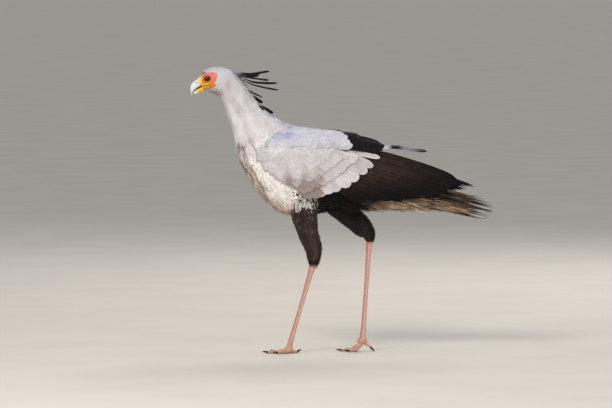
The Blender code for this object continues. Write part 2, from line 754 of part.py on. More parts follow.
def foot(side, sign, finish, horn):
    """The foot with its four toes, and their claws."""
    lift = HEEL_LIFT[side]
    start, centre = leg_ends(side, sign)
    top = start.lerp(centre, 0.05 + 0.90 * (TARSUS_SCUTES - 1) / TARSUS_SCUTES + 0.86 / TARSUS_SCUTES)
    top += (centre - start).normalized() * GAP
    floor_point = Vector((centre.x, centre.y, 0))
    made = ball("foot_" + side, floor_point + Vector((-0.002, 0, lift + 0.0118)), PAD_SIZE, finish, 12, 8)
    neck = (top, top.lerp(centre, 0.5), centre, floor_point + Vector((-0.002, 0, lift + 0.008)))
    added = [tube("stub", neck, ((0.0085, 0.0082), (0.0095, 0.0095), (0.0115, 0.0115), (0.009, 0.009)), finish, 10)]
    claws = []
    for title, (length, turn, thick, thin) in TOES.items():
        angle = math.radians(180 + sign * (turn - SPLAY))
        ahead = Vector((math.cos(angle), math.sin(angle), 0))
        across = Vector((0, 0, 1)).cross(ahead)
        points = []
        reaches = []
        steps = []
        scutes = max(3, round(length / TOE_SCUTE))
        for i in range(scutes * 2 + 1):
            share = min(1.0, (i // 2 + (0.85 if i % 2 else 0.0)) / scutes)
            radius = thick + (thin - thick) * share
            radius *= 1 + 0.07 * math.sin(share * math.pi * 6 + 1.2)
            if share > 0.95:
                radius *= 0.72
            drop = max(0.0, 1 - share / 0.6)
            rise = lift * drop ** 1.4 + 0.003 * (1 - share) ** 3
            if title == "hind":
                rise = lift * (1 - 0.5 * share) + 0.003 * (1 - share)
            height = radius - FLAT_DEPTH + rise
            if share > 0.95:
                height = max(height, CLAW_CLEARANCE)
            points.append(floor_point + ahead * (length * share) + Vector((0, 0, height)))
            reaches.append((radius, radius * 0.96))
            steps.append(0.0 if i % 2 or share > 0.95 else 0.0006)
        added.append(tube("toe", points, reaches, finish, 8, across, steps))
        tip = points[-1]
        along = (points[-1] - points[-2]).normalized()
        up = across.cross(along).normalized()
        if up.z < 0:
            up = -up
        claw_points = [tip + along * reach + up * rise for reach, rise, radius in CLAW]
        claw_reaches = [(radius, radius * 0.85) for reach, rise, radius in CLAW]
        name = "claw_" + title + "_" + side
        claws.append(tube(name, claw_points, claw_reaches, horn, 8, across))
    combine(made, added, "UNION")
    combine(made, [slab_under_floor(finish)], "DIFFERENCE")
    return [made] + claws


def centre_on_origin(objects):
    """Moves all the meshes so that the middle of the bird's box stands on the origin."""
    low = [1e9, 1e9]
    high = [-1e9, -1e9]
    for obj in objects:
        for vertex in obj.data.vertices:
            for i in (0, 1):
                low[i] = min(low[i], vertex.co[i])
                high[i] = max(high[i], vertex.co[i])
    shift = Matrix.Translation((-(low[0] + high[0]) / 2, -(low[1] + high[1]) / 2, 0))
    for obj in objects:
        obj.data.transform(shift)


def build():
    clear_scene()
    parts = bpy.data.collections.new("secretary bird")
    bpy.context.scene.collection.children.link(parts)
    rng = random.Random(3)

    grey = material("grey plumage", (0.50, 0.50, 0.54), 0.8)
    pale = material("pale plumage", (0.66, 0.64, 0.62), 0.8)
    slate = material("slate plumage", (0.30, 0.29, 0.31), 0.75)
    dark = material("dark plumage", (0.045, 0.038, 0.036), 0.7)
    horn = material("pale horn", (0.58, 0.62, 0.64), 0.4)
    yellow = material("yellow horn", (0.80, 0.52, 0.10), 0.45)
    glass = material("dark eye", (0.03, 0.018, 0.012), 0.08)
    skin = material("pink scales", (0.72, 0.42, 0.36), 0.55)
    claw = material("dark horn", (0.07, 0.06, 0.055), 0.4)

    upper = bill_piece("bill_upper", BILL_UPPER, horn)
    nostrils = []
    for sign in SIDES.values():
        place = (NOSTRIL[0], sign * NOSTRIL[1], NOSTRIL[2])
        nostrils.append(ball("nostril", place, NOSTRIL_SIZE, horn, 10, 6))
    combine(upper, nostrils, "DIFFERENCE")
    made = [
        head(grey, rng),
        upper,
        bill_piece("bill_lower", BILL_LOWER, yellow),
        body_piece("torso", NECK_END, TORSO_END, pale),
        tail(dark, rng),
    ]
    neck = body_piece("neck", HEAD_END, NECK_END, grey)
    combine(neck, crest(CREST_OF_NECK, grey, rng), "UNION")
    made.append(neck)
    for side, sign in SIDES.items():
        eye = (EYE[0], sign * EYE[1], EYE[2])
        made.append(ball("eye_" + side, eye, [EYE_RADIUS] * 3, glass))
        made.append(wing(side, sign, slate, rng))
        made.append(thigh(side, sign, dark))
        points, reaches, steps = bare_leg(side, sign)
        made.append(tube("tarsus_" + side, points, reaches, skin, 8, SIDEWAYS, steps))
        made += foot(side, sign, skin, claw)
    centre_on_origin(made)
    for obj in made:
        parts.objects.link(obj)


build()
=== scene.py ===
import math

import bmesh
import bpy
import numpy as np
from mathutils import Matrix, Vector
from mathutils.bvhtree import BVHTree


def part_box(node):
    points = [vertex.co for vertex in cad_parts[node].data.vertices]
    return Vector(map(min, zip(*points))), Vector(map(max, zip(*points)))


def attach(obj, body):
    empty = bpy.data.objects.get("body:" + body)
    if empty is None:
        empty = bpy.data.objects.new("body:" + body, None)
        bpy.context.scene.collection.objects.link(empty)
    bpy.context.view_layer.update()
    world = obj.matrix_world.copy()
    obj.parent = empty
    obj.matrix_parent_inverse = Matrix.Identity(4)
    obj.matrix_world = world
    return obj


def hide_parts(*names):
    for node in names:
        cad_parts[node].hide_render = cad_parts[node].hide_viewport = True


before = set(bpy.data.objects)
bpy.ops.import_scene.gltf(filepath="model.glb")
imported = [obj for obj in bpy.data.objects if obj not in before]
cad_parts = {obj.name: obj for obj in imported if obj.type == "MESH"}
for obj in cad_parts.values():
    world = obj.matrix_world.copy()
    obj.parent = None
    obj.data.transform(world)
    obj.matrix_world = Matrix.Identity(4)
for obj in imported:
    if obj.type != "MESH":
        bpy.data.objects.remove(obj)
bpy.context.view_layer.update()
dice = np.random.default_rng(11)

# The body's sections from the face to the tail's root: back x and z, belly x and z, half width.
bodyTable = np.array([
    (-0.4215, 0.8310, -0.4140, 0.7860, 0.0140),
    (-0.4110, 0.8460, -0.3990, 0.7845, 0.0215),
    (-0.3930, 0.8550, -0.3840, 0.7830, 0.0270),
    (-0.3690, 0.8580, -0.3705, 0.7770, 0.0305),
    (-0.3390, 0.8520, -0.3600, 0.7650, 0.0315),
    (-0.3110, 0.8340, -0.3510, 0.7470, 0.0305),
    (-0.2880, 0.8070, -0.3435, 0.7260, 0.0305),
    (-0.2670, 0.7770, -0.3360, 0.7035, 0.0335),
    (-0.2430, 0.7470, -0.3270, 0.6780, 0.0385),
    (-0.2130, 0.7170, -0.3195, 0.6480, 0.0455),
    (-0.1800, 0.6960, -0.3120, 0.6150, 0.0545),
    (-0.1470, 0.6810, -0.2970, 0.5730, 0.0630),
    (-0.1140, 0.6735, -0.2730, 0.5280, 0.0690),
    (-0.0840, 0.6700, -0.2400, 0.4770, 0.0715),
    (-0.0480, 0.6650, -0.1860, 0.4290, 0.0710),
    (-0.0120, 0.6590, -0.1140, 0.4170, 0.0670),
    (0.0240, 0.6520, -0.0330, 0.4290, 0.0590),
    (0.0600, 0.6360, 0.0390, 0.4440, 0.0480),
    (0.0960, 0.6080, 0.1050, 0.4450, 0.0370),
    (0.1290, 0.5760, 0.1560, 0.4440, 0.0280),
    (0.1770, 0.5370, 0.2130, 0.4430, 0.0200),
    (0.2250, 0.5050, 0.2610, 0.4500, 0.0110),
])
# The sheet that the folded wing's feathers lie on: x, top z, bottom z, half width.
wingTable = np.array([
    (-0.258, 0.711, 0.471, 0.0620),
    (-0.213, 0.700, 0.441, 0.0740),
    (-0.168, 0.6855, 0.420, 0.0820),
    (-0.123, 0.678, 0.411, 0.0860),
    (-0.063, 0.672, 0.411, 0.0860),
    (-0.003, 0.671, 0.420, 0.0800),
    (0.057, 0.663, 0.432, 0.0700),
    (0.117, 0.640, 0.438, 0.0590),
    (0.177, 0.614, 0.435, 0.0490),
    (0.237, 0.600, 0.429, 0.0450),
    (0.297, 0.588, 0.423, 0.0420),
    (0.357, 0.576, 0.417, 0.0390),
    (0.430, 0.562, 0.411, 0.0320),
])
# Outline of the wing's arm on that sheet: x, upper z, lower z.
armTable = np.array([
    (-0.2500, 0.5900, 0.5780),
    (-0.2420, 0.6140, 0.5570),
    (-0.2190, 0.6380, 0.5370),
    (-0.1830, 0.6530, 0.5160),
    (-0.1380, 0.6600, 0.4950),
    (-0.0930, 0.6610, 0.4830),
    (-0.0480, 0.6570, 0.4830),
    (-0.0030, 0.6460, 0.5010),
    (0.0330, 0.6240, 0.5310),
])
# Thighs from the hip down: x, z, y, then half width from front to back and from side to side.
thighTables = {
    "left": np.array([
        (-0.111, 0.501, 0.036, 0.042, 0.024),
        (-0.108, 0.459, 0.040, 0.041, 0.025),
        (-0.110, 0.415, 0.043, 0.038, 0.025),
        (-0.0985, 0.363, 0.042, 0.0295, 0.0210),
        (-0.0840, 0.318, 0.040, 0.0255, 0.0190),
        (-0.0810, 0.291, 0.039, 0.0205, 0.0160),
        (-0.0820, 0.273, 0.038, 0.0140, 0.0125),
    ]),
    "right": np.array([
        (-0.052, 0.489, 0.034, 0.036, 0.023),
        (-0.022, 0.452, 0.036, 0.036, 0.023),
        (0.011, 0.424, 0.036, 0.034, 0.023),
        (0.038, 0.400, 0.036, 0.032, 0.022),
        (0.066, 0.3745, 0.036, 0.0295, 0.0200),
        (0.0820, 0.3560, 0.036, 0.0210, 0.0160),
        (0.0865, 0.3420, 0.036, 0.0140, 0.0125),
    ]),
}
sides = {"left": -1, "right": 1}
eyePlace = (-0.4005, 0.0160, 0.8228)
eyeRadius = 0.0105

eyeLow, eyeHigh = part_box("eye_left")
shiftX = (eyeLow.x + eyeHigh.x) / 2 - eyePlace[0]     # the CAD model is centred on the origin


def paint(red, green, blue):
    # a colour as 0 to 255, as a screen shows it
    share = np.array((red, green, blue)) / 255
    return np.where(share <= 0.04045, share / 12.92, ((share + 0.055) / 1.055) ** 2.4)


colours = dict(
    crown=(229, 228, 237), cheek=(226, 218, 216), nape=(231, 226, 230), neck=(230, 225, 227),
    breast=(240, 234, 234), mantle=(213, 213, 226), belly=(255, 250, 246), buffShade=(196, 156, 118),
    foldShade=(84, 62, 50), speckle=(118, 112, 118), black=(18, 16, 17), brownBlack=(38, 29, 26),
    covert=(222, 216, 219), warmCovert=(158, 142, 136), armWhite=(250, 248, 250), wingBrown=(52, 38, 34),
    tailBrown=(134, 109, 90), pairGrey=(226, 226, 242), pairDusk=(132, 130, 146), pairTip=(40, 38, 44),
    undertailPale=(244, 222, 196), undertailBuff=(190, 158, 132), undertailBroad=(168, 138, 114),
    thighGrey=(128, 114, 106), lash=(12, 9, 8),
    red=(255, 128, 114), orange=(255, 143, 8), yellow=(255, 206, 56), jaw=(246, 160, 30),
    facePale=(252, 206, 128), faceRear=(250, 190, 180), lid=(150, 44, 30), lidEdge=(20, 12, 10),
    mouthLine=(18, 9, 7), mouthLining=(20, 11, 9),
    billCream=(248, 222, 166), billPale=(232, 236, 236), billTip=(170, 182, 194), billWarm=(255, 190, 40),
    billEdge=(26, 18, 14), cere=(252, 196, 110), nostril=(30, 22, 18),
    lowerBill=(246, 190, 60), lowerPale=(228, 232, 228),
    pupil=(3, 3, 3), irisDark=(46, 25, 12), irisLight=(86, 48, 22), eyeRim=(14, 9, 7),
    pink=(240, 196, 176), shinRed=(214, 104, 88), foot=(232, 178, 154), claw=(38, 32, 30),
)
colours = {name: paint(*shown) for name, shown in colours.items()}


def splineRows(rows, place):
    # rows of a table at any place between them, and straight on past its ends
    place = np.asarray(place, float)
    last = len(rows) - 1
    inside = np.clip(place, 0, last)
    i = np.minimum(inside.astype(int), last - 1)
    f = (inside - i)[..., None]
    a, b = rows[np.maximum(i - 1, 0)], rows[i]
    c, d = rows[i + 1], rows[np.minimum(i + 2, last)]
    row = 0.5 * (2 * b + (c - a) * f + (2 * a - 5 * b + 4 * c - d) * f * f + (3 * b - a - 3 * c + d) * f ** 3)
    past = (place - inside)[..., None]
    return row + np.where(past > 0, rows[-1] - rows[-2], rows[1] - rows[0]) * past


def smooth(low, high, value):
    share = np.clip((value - low) / (high - low), 0, 1)
    return share * share * (3 - 2 * share)


def bell(value, width):
    # 1 where the value is 0, falling softly to nothing on both sides
    return np.exp(-(value / width) ** 2)


def spot(x, wide, z, tall):
    # 1 where both values are 0, falling softly to nothing all round
    return np.exp(-(x / wide) ** 2 - (z / tall) ** 2)


def between(first, second, share):
    # the first where the share is 0, the second where it is 1
    return first * (1 - share) + second * share


def layTints(tint, *layers):
    # colours laid over one another, each with its share
    for name, share in layers:
        tint = between(tint, colours[name], share[..., None])
    return tint


def turnsRound(places, around):
    # places along a form, each with a ring of angles
    return np.meshgrid(places, np.linspace(0, 2 * math.pi, around, endpoint=False), indexing="ij")


def unit(vectors):
    return vectors / np.maximum(np.linalg.norm(vectors, axis=-1, keepdims=True), 1e-12)


def power(value, exponent):
    return np.sign(value) * np.abs(value) ** exponent


def sectionPoints(table, place, angle, squareness, out=0.0, least=0.0):
    # Points round a form given by its back, belly and half width.
    # Angle 0 is the back, a quarter turn the right side, half a turn the belly.
    row = splineRows(table, place)
    top, low = row[..., 0:2], row[..., 2:4]
    tall = np.linalg.norm(top - low, axis=-1)
    up = (top - low) / np.maximum(tall, 1e-6)[..., None]
    rise = (tall / 2 + out) * power(np.cos(angle), 2 / squareness)
    reach = (np.maximum(row[..., 4], least) + out) * power(np.sin(angle), 2 / squareness)
    middle = (top + low) / 2
    x = middle[..., 0] + up[..., 0] * rise + shiftX
    return np.stack([x, reach, middle[..., 1] + up[..., 1] * rise], -1)


def bodySurface(place, angle, out=0.0):
    return sectionPoints(bodyTable, place, angle, 2.3, out, 0.004)


def wingSurface(side):
    def surface(x, angle, out=0.0):
        # angle 0 is outermost, a quarter turn up is the back
        row = splineRows(wingTable, np.interp(x, wingTable[:, 0], np.arange(len(wingTable))))
        tall, middle = (row[..., 1] - row[..., 2]) / 2, (row[..., 1] + row[..., 2]) / 2
        y = side * (row[..., 3] + out) * power(np.cos(angle), 2 / 2.5)
        z = middle + (tall + out) * power(np.sin(angle), 2 / 2.5)
        return np.stack([x + shiftX + 0 * z, y, z], -1)
    return surface


def wingAngle(x, z):
    # where on the wing's sheet something shows that is seen at x and z from the side
    row = splineRows(wingTable, np.interp(x, wingTable[:, 0], np.arange(len(wingTable))))
    rise = (z - (row[..., 1] + row[..., 2]) / 2) / ((row[..., 1] - row[..., 2]) / 2)
    return np.arcsin(power(np.clip(rise, -0.999, 0.999), 2.5 / 2))


def thighSurface(side):
    table, sign = thighTables[side], sides[side]

    def surface(place, angle, out=0.0):
        # angle 0 is the front
        row = splineRows(table, place)
        ahead = splineRows(table, place + 0.05) - splineRows(table, place - 0.05)
        along = unit(np.stack([ahead[..., 0], sign * ahead[..., 2], ahead[..., 1]], -1))
        front = unit(np.cross(along, np.array((0.0, 1.0, 0.0))))
        front = np.where(front[..., :1] > 0, -front, front)
        across = np.cross(along, front)
        centre = np.stack([row[..., 0] + shiftX, sign * row[..., 2], row[..., 1]], -1)
        deep = ((row[..., 3] + out) * np.cos(angle))[..., None]
        wide = ((row[..., 4] + out) * np.sin(angle))[..., None]
        return centre + front * deep + across * wide
    return surface


def surfaceFrame(surface, u, v, step=0.004):
    base = surface(u, v)
    alongU = (surface(u + step, v) - surface(u - step, v)) / (2 * step)
    alongV = (surface(u, v + step) - surface(u, v - step)) / (2 * step)
    normal = unit(np.cross(alongU, alongV))
    outward = surface(u, v, 0.002) - base
    normal = np.where(np.sum(normal * outward, -1, keepdims=True) < 0, -normal, normal)
    return base, alongU, alongV, normal


def layOnSurface(surface, u, v, length, turn, shares, rootOut, tipOut, bend=1.0):
    # middle lines of feathers that follow a surface from their roots, and the ways out of it
    _, alongU, alongV, normal = surfaceFrame(surface, u, v)
    ahead = unit(alongU)
    beside = np.cross(normal, ahead)
    way = ahead * np.cos(turn)[:, None] + beside * np.sin(turn)[:, None]
    uu, vv = np.sum(alongU * alongU, -1), np.sum(alongV * alongV, -1)
    uv = np.sum(alongU * alongV, -1)
    wayU, wayV = np.sum(way * alongU, -1) * length, np.sum(way * alongV, -1) * length
    space = np.maximum(uu * vv - uv ** 2, 1e-14)
    stepU, stepV = (wayU * vv - wayV * uv) / space, (wayV * uu - wayU * uv) / space
    allU = u[:, None] + stepU[:, None] * shares
    allV = v[:, None] + stepV[:, None] * shares
    rootOut, tipOut = np.broadcast_to(rootOut, u.shape), np.broadcast_to(tipOut, u.shape)
    out = rootOut[:, None] + (tipOut - rootOut)[:, None] * shares ** bend
    return surface(allU, allV, out), surfaceFrame(surface, allU, allV)[3]


def vaneOutline(bodyRings, tipRings, rise, tipStart, blunt):
    # Shares of a feather's length, and the half width at each.
    # Blunt is 0.5 for a round tip, 1 for a pointed one.
    body = np.linspace(0, tipStart, bodyRings, endpoint=False)
    end = tipStart + (1 - tipStart) * np.sin(np.linspace(0, math.pi / 2, tipRings))
    shares = np.concatenate([body, end])
    fall = np.clip((shares - tipStart) / (1 - tipStart), 0, 1)
    widths = (1 - (1 - np.clip(shares / rise, 0, 1)) ** 2.2) * (1 - fall ** 2) ** blunt
    widths[0] = widths[-1] = 0
    return shares, widths


vaneShapes = dict(
    tiny=vaneOutline(2, 3, 0.30, 0.50, 0.75),
    small=vaneOutline(3, 3, 0.35, 0.52, 0.70),
    lesser=vaneOutline(3, 5, 0.35, 0.62, 0.55),
    covert=vaneOutline(5, 7, 0.35, 0.74, 0.50),
    long=vaneOutline(9, 7, 0.22, 0.84, 0.55),
    pointed=vaneOutline(8, 7, 0.20, 0.42, 0.95),
    frayed=vaneOutline(10, 8, 0.22, 0.40, 1.15),
    strand=vaneOutline(2, 3, 0.20, 0.40, 1.00),
)
plumeShares, plumeWidths = vaneOutline(8, 6, 0.20, 0.84, 0.70)
plumeSwell = np.interp(plumeShares, (0, 0.3, 0.5, 0.7, 0.9), (0.34, 0.36, 0.55, 0.90, 1.0))
vaneShapes["plume"] = (plumeShares, plumeWidths * plumeSwell)

waveWays = dice.normal(0, 1, (9, 3))
waveStarts = dice.uniform(0, 6.28, 9)


def clump(points, size, start=0.0):
    # soft unevenness from -1 to 1 over distances of about size
    return np.clip(np.sin(points @ waveWays.T / size + waveStarts + start).sum(-1) / 3.2, -1, 1)


def vanes(spine, normal, half, shares, tint, bake, across=(-1, 0, 1), cup=0.15, lean=0.0,
          thick=0.0002, ridge=0.0, rough=0.0, flat=False):
    # Closed thin feathers: a spine with rings of points round it, which taper to the root and the tip.
    # Half is each ring's half width. Rough makes the edges uneven.
    # Flat leaves out the underside's own points.
    across = np.array(across, float)
    tangent = unit(np.gradient(spine, axis=1))
    side = unit(np.cross(normal, tangent))
    out = np.cross(tangent, side)
    count, rings = spine.shape[0], spine.shape[1] - 2
    reach = half[:, 1:-1, None] * across
    reach = reach * (1 + rough * dice.uniform(-1, 0.3, reach.shape) * (np.abs(across) > 0.9))
    edge = np.abs(across)
    rise = -cup * np.abs(reach) * edge ** 0.7 + lean * reach + ridge * (across == 0) + thick * (1 - edge)
    around = across
    if not flat:
        under = (rise - 2 * thick * (1 - edge) - ridge * (across == 0))[..., 1:-1][..., ::-1]
        reach = np.concatenate([reach, reach[..., 1:-1][..., ::-1]], -1)
        rise = np.concatenate([rise, under], -1)
        around = np.concatenate([across, across[1:-1][::-1]])
    ring = spine[:, 1:-1, None] + side[:, 1:-1, None] * reach[..., None]
    ring = ring + out[:, 1:-1, None] * rise[..., None]
    size = ring.shape[2]
    points = np.concatenate([spine[:, :1], ring.reshape(count, rings * size, 3), spine[:, -1:]], 1)
    middle = np.stack(np.broadcast_arrays(around[None] * 0.5 + 0.5, shares[1:-1, None]), -1).reshape(-1, 2)
    local = np.concatenate([[(0.5, 0.0)], middle, [(0.5, 1.0)]])
    tint = np.asarray(tint, float)
    if tint.ndim == 2:
        tint = np.broadcast_to(tint[:, None], (count, points.shape[1], 3))
    elif tint.ndim == 4:      # one colour for each point across as well
        tint = np.concatenate([tint[:, 0, :1], tint[:, 1:-1].reshape(count, -1, 3), tint[:, -1, :1]], 1)
    else:      # one colour for each share of the length
        tint = np.concatenate([tint[:, :1], np.repeat(tint[:, 1:-1], size, axis=1), tint[:, -1:]], 1)
    return dict(points=points, size=size, rings=rings, local=local, tint=tint, bake=bake)


def vaneFaces(size, rings):
    # the faces of one feather: a fan at the root, rings of four-sided ones, and a fan at the tip
    j = np.arange(size)
    k = (j + 1) % size
    root = np.stack([np.zeros(size, int), 1 + k, 1 + j], -1)
    start = 1 + size * np.arange(rings - 1)[:, None]
    body = np.stack([start + j, start + k, start + size + k, start + size + j], -1).reshape(-1, 4)
    last = 1 + size * (rings - 1)
    tip = np.stack([last + j, last + k, np.full(size, 1 + size * rings)], -1)
    corners = np.concatenate([root.ravel(), body.ravel(), tip.ravel()])
    counts = np.concatenate([np.full(size, 3), np.full(len(body), 4), np.full(size, 3)])
    return corners, counts


def setTint(mesh, tint):
    shade = np.concatenate([tint, np.ones((len(tint), 1))], 1)
    layer = mesh.color_attributes.new("tint", "FLOAT_COLOR", "POINT")
    layer.data.foreach_set("color", shade.astype(np.float32).ravel())


def featherPiece(name, batches, material, bakePatch=0.003):
    # one mesh of many feathers, each with its own small patch of the map at its root's place
    points, corners, counts, local, bake, tint = [], [], [], [], [], []
    first = 0
    for batch in batches:
        number, each = batch["points"].shape[:2]
        faceCorners, faceCounts = vaneFaces(batch["size"], batch["rings"])
        points.append(batch["points"].reshape(-1, 3))
        tint.append(batch["tint"].reshape(-1, 3))
        starts = first + each * np.arange(number)[:, None]
        corners.append((starts + faceCorners).ravel())
        counts.append(np.tile(faceCounts, number))
        local.append(np.tile(batch["local"][faceCorners], (number, 1)))
        patch = (batch["local"] - 0.5) * bakePatch
        bake.append((batch["bake"][:, None] + patch[faceCorners]).reshape(-1, 2))
        first += number * each
    points, corners, counts = np.concatenate(points), np.concatenate(corners), np.concatenate(counts)
    mesh = bpy.data.meshes.new(name)
    mesh.vertices.add(len(points))
    mesh.vertices.foreach_set("co", points.astype(np.float32).ravel())
    mesh.loops.add(len(corners))
    mesh.loops.foreach_set("vertex_index", corners.astype(np.int32))
    mesh.polygons.add(len(counts))
    mesh.polygons.foreach_set("loop_start", (np.cumsum(counts) - counts).astype(np.int32))
    mesh.update(calc_edges=True)
    for title, values in (("OFBake", np.concatenate(bake)), ("FeatherUV", np.concatenate(local))):
        layer = mesh.uv_layers.new(name=title)
        layer.uv.foreach_set("vector", values.astype(np.float32).ravel())
    setTint(mesh, np.concatenate(tint))
    mesh.polygons.foreach_set("use_smooth", np.ones(len(counts), bool))
    mesh.set_sharp_from_angle(angle=math.radians(75))
    mesh.materials.append(material)
    piece = bpy.data.objects.new(name, mesh)
    bpy.context.scene.collection.objects.link(piece)
    bm = bmesh.new()
    bm.from_mesh(mesh)
    if bm.calc_volume(signed=True) < 0:
        bmesh.ops.reverse_faces(bm, faces=bm.faces)
        bm.to_mesh(mesh)
    bm.free()
    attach(piece, "root")
    print(f"{name}: {int(np.sum(counts - 2))} triangles")


def bakePlace(u, v, area):
    # an unwrap of the surface that the roots stand on, laid in a rectangle of the map
    left, low, right, high = area
    u, v = np.clip(u, 0, 1), np.mod(v, 1.0)
    return np.stack([left + (right - left) * u, low + (high - low) * v], -1)


def bodyBake(place, angle):
    return bakePlace(place / 21, angle / (2 * math.pi), (0.02, 0.02, 0.98, 0.60))


# Materials

def startMaterial(name, roughness, sheen=0.0, coat=0.0, under=0.0, gloss=0.35):
    material = bpy.data.materials.new(name)
    material.use_nodes = True
    tree = material.node_tree
    shader = tree.nodes["Principled BSDF"]
    shader.inputs["Roughness"].default_value = roughness
    shader.inputs["Sheen Weight"].default_value = sheen
    shader.inputs["Sheen Roughness"].default_value = 0.45
    shader.inputs["Coat Weight"].default_value = coat
    shader.inputs["Subsurface Weight"].default_value = under
    shader.inputs["Subsurface Radius"].default_value = (0.004, 0.002, 0.0015)
    shader.inputs["Specular IOR Level"].default_value = gloss
    return material, tree, shader


def mathNode(tree, operation, *values):
    node = tree.nodes.new("ShaderNodeMath")
    node.operation = operation
    for i, value in enumerate(values):
        if isinstance(value, (int, float)):
            node.inputs[i].default_value = value
        else:
            tree.links.new(value, node.inputs[i])
    return node.outputs[0]


def rangeNode(tree, value, fromLow, fromHigh, toLow, toHigh):
    node = tree.nodes.new("ShaderNodeMapRange")
    node.interpolation_type = "SMOOTHSTEP"
    for i, setting in enumerate((fromLow, fromHigh, toLow, toHigh)):
        node.inputs[i + 1].default_value = setting
    tree.links.new(value, node.inputs[0])
    return node.outputs[0]


def mixNode(tree, share, first, second, blend="MIX"):
    node = tree.nodes.new("ShaderNodeMix")
    node.data_type = "RGBA"
    node.blend_type = blend
    for socket, value in ((node.inputs[0], share), (node.inputs[6], first), (node.inputs[7], second)):
        if isinstance(value, (int, float)):
            socket.default_value = value
        elif isinstance(value, (tuple, list, np.ndarray)):
            socket.default_value = (*value, 1.0)
        else:
            tree.links.new(value, socket)
    return node.outputs[2]


def noiseNode(tree, scale, detail=3.0, kind="ShaderNodeTexNoise"):
    node = tree.nodes.new(kind)
    node.inputs["Scale"].default_value = scale
    if "Detail" in node.inputs:
        node.inputs["Detail"].default_value = detail
    place = tree.nodes.new("ShaderNodeTexCoord")
    tree.links.new(place.outputs["Object"], node.inputs["Vector"])
    return node.outputs[0]


def shadeBase(tree, shader, colour, shade):
    # the base colour made darker or lighter by a grey value
    combine = tree.nodes.new("ShaderNodeCombineXYZ")
    for i in range(3):
        tree.links.new(shade, combine.inputs[i])
    tree.links.new(mixNode(tree, 1.0, colour, combine.outputs[0], "MULTIPLY"), shader.inputs["Base Color"])


def tintNode(tree):
    node = tree.nodes.new("ShaderNodeAttribute")
    node.attribute_name = "tint"
    return node.outputs["Color"]


def bumpNode(tree, height, strength, distance, shader):
    node = tree.nodes.new("ShaderNodeBump")
    node.inputs["Strength"].default_value = strength
    node.inputs["Distance"].default_value = distance
    tree.links.new(height, node.inputs["Height"])
    tree.links.new(node.outputs[0], shader.inputs["Normal"])


def featherMaterial(name, barbs, barbDepth, shaftShade, fringe, spots, sheen, roughness=0.75, gloss=0.2):
    # barbs slant off a shaft, over soft clouds of lighter and darker
    material, tree, shader = startMaterial(name, roughness, sheen, gloss=gloss)
    uvMap = tree.nodes.new("ShaderNodeUVMap")
    uvMap.uv_map = "FeatherUV"
    split = tree.nodes.new("ShaderNodeSeparateXYZ")
    tree.links.new(uvMap.outputs[0], split.inputs[0])
    off = mathNode(tree, "ABSOLUTE", mathNode(tree, "MULTIPLY_ADD", split.outputs[0], 2.0, -1.0))
    # barbs run outwards and towards the tip
    slant = mathNode(tree, "MULTIPLY_ADD", off, -0.35, split.outputs[1])
    wave = mathNode(tree, "SINE", mathNode(tree, "MULTIPLY", slant, barbs * math.pi))
    cloud = noiseNode(tree, 260.0)
    height = mathNode(tree, "MULTIPLY_ADD", cloud, 1.2, wave)
    shadeBarb = rangeNode(tree, height, -1.0, 2.2, 1.0 - barbDepth, 1.0 + barbDepth * 0.6)
    soft = rangeNode(tree, noiseNode(tree, 45.0, 4.0), 0.3, 0.7, 1.0 - spots, 1.0 + spots * 0.6)
    factor = mathNode(tree, "MULTIPLY", shadeBarb, soft)
    shaft = rangeNode(tree, off, 0.03, 0.10, 1.0, 0.0)
    factor = mathNode(tree, "MULTIPLY", factor, rangeNode(tree, shaft, 0.0, 1.0, 1.0, shaftShade))
    factor = mathNode(tree, "MULTIPLY", factor, rangeNode(tree, off, 0.72, 0.98, 1.0, fringe))
    factor = mathNode(tree, "MULTIPLY", factor, rangeNode(tree, split.outputs[1], 0.86, 1.0, 1.0, fringe))
    shadeBase(tree, shader, tintNode(tree), factor)
    raised = mathNode(tree, "MULTIPLY_ADD", shaft, 2.5, height)
    bumpNode(tree, raised, 0.35, 0.0002, shader)
    return material


paleFeathers = featherMaterial("paleFeathers", sheen=0.2, barbs=9.0, barbDepth=0.06,
                               shaftShade=0.96, fringe=1.04, spots=0.06)
covertFeathers = featherMaterial("covertFeathers", sheen=0.15, barbs=46.0, barbDepth=0.06,
                                 shaftShade=0.86, fringe=1.07, spots=0.07)
darkFeathers = featherMaterial("darkFeathers", roughness=0.5, sheen=0.0, barbs=110.0, barbDepth=0.35,
                               shaftShade=2.1, fringe=1.3, spots=0.3, gloss=0.12)
looseFeathers = featherMaterial("looseFeathers", sheen=0.1, barbs=14.0, barbDepth=0.12,
                                shaftShade=1.1, fringe=1.1, spots=0.2)


def hornMaterial(name, roughness, grain, coat=0.3):
    material, tree, shader = startMaterial(name, roughness, coat=coat, under=0.05)
    streak = noiseNode(tree, grain, 5.0)
    shade = rangeNode(tree, streak, 0.25, 0.75, 0.86, 1.08)
    shadeBase(tree, shader, tintNode(tree), shade)
    polish = rangeNode(tree, streak, 0.3, 0.7, roughness - 0.08, roughness + 0.12)
    tree.links.new(polish, shader.inputs["Roughness"])
    bumpNode(tree, streak, 0.25, 0.0002, shader)
    return material


def scaleMaterial(name, roughness, cells, depth, under):
    # skin with small scales or wrinkles
    material, tree, shader = startMaterial(name, roughness, coat=0.08, under=under)
    cell = noiseNode(tree, cells, kind="ShaderNodeTexVoronoi")
    cloud = noiseNode(tree, cells * 0.3, 4.0)
    groove = rangeNode(tree, cell, 0.20, 0.70, 1.05, 0.78)
    shade = mathNode(tree, "MULTIPLY", groove, rangeNode(tree, cloud, 0.3, 0.7, 0.90, 1.08))
    shadeBase(tree, shader, tintNode(tree), shade)
    height = mathNode(tree, "MULTIPLY_ADD", cloud, 0.8, groove)
    bumpNode(tree, height, 0.5, depth, shader)
    return material


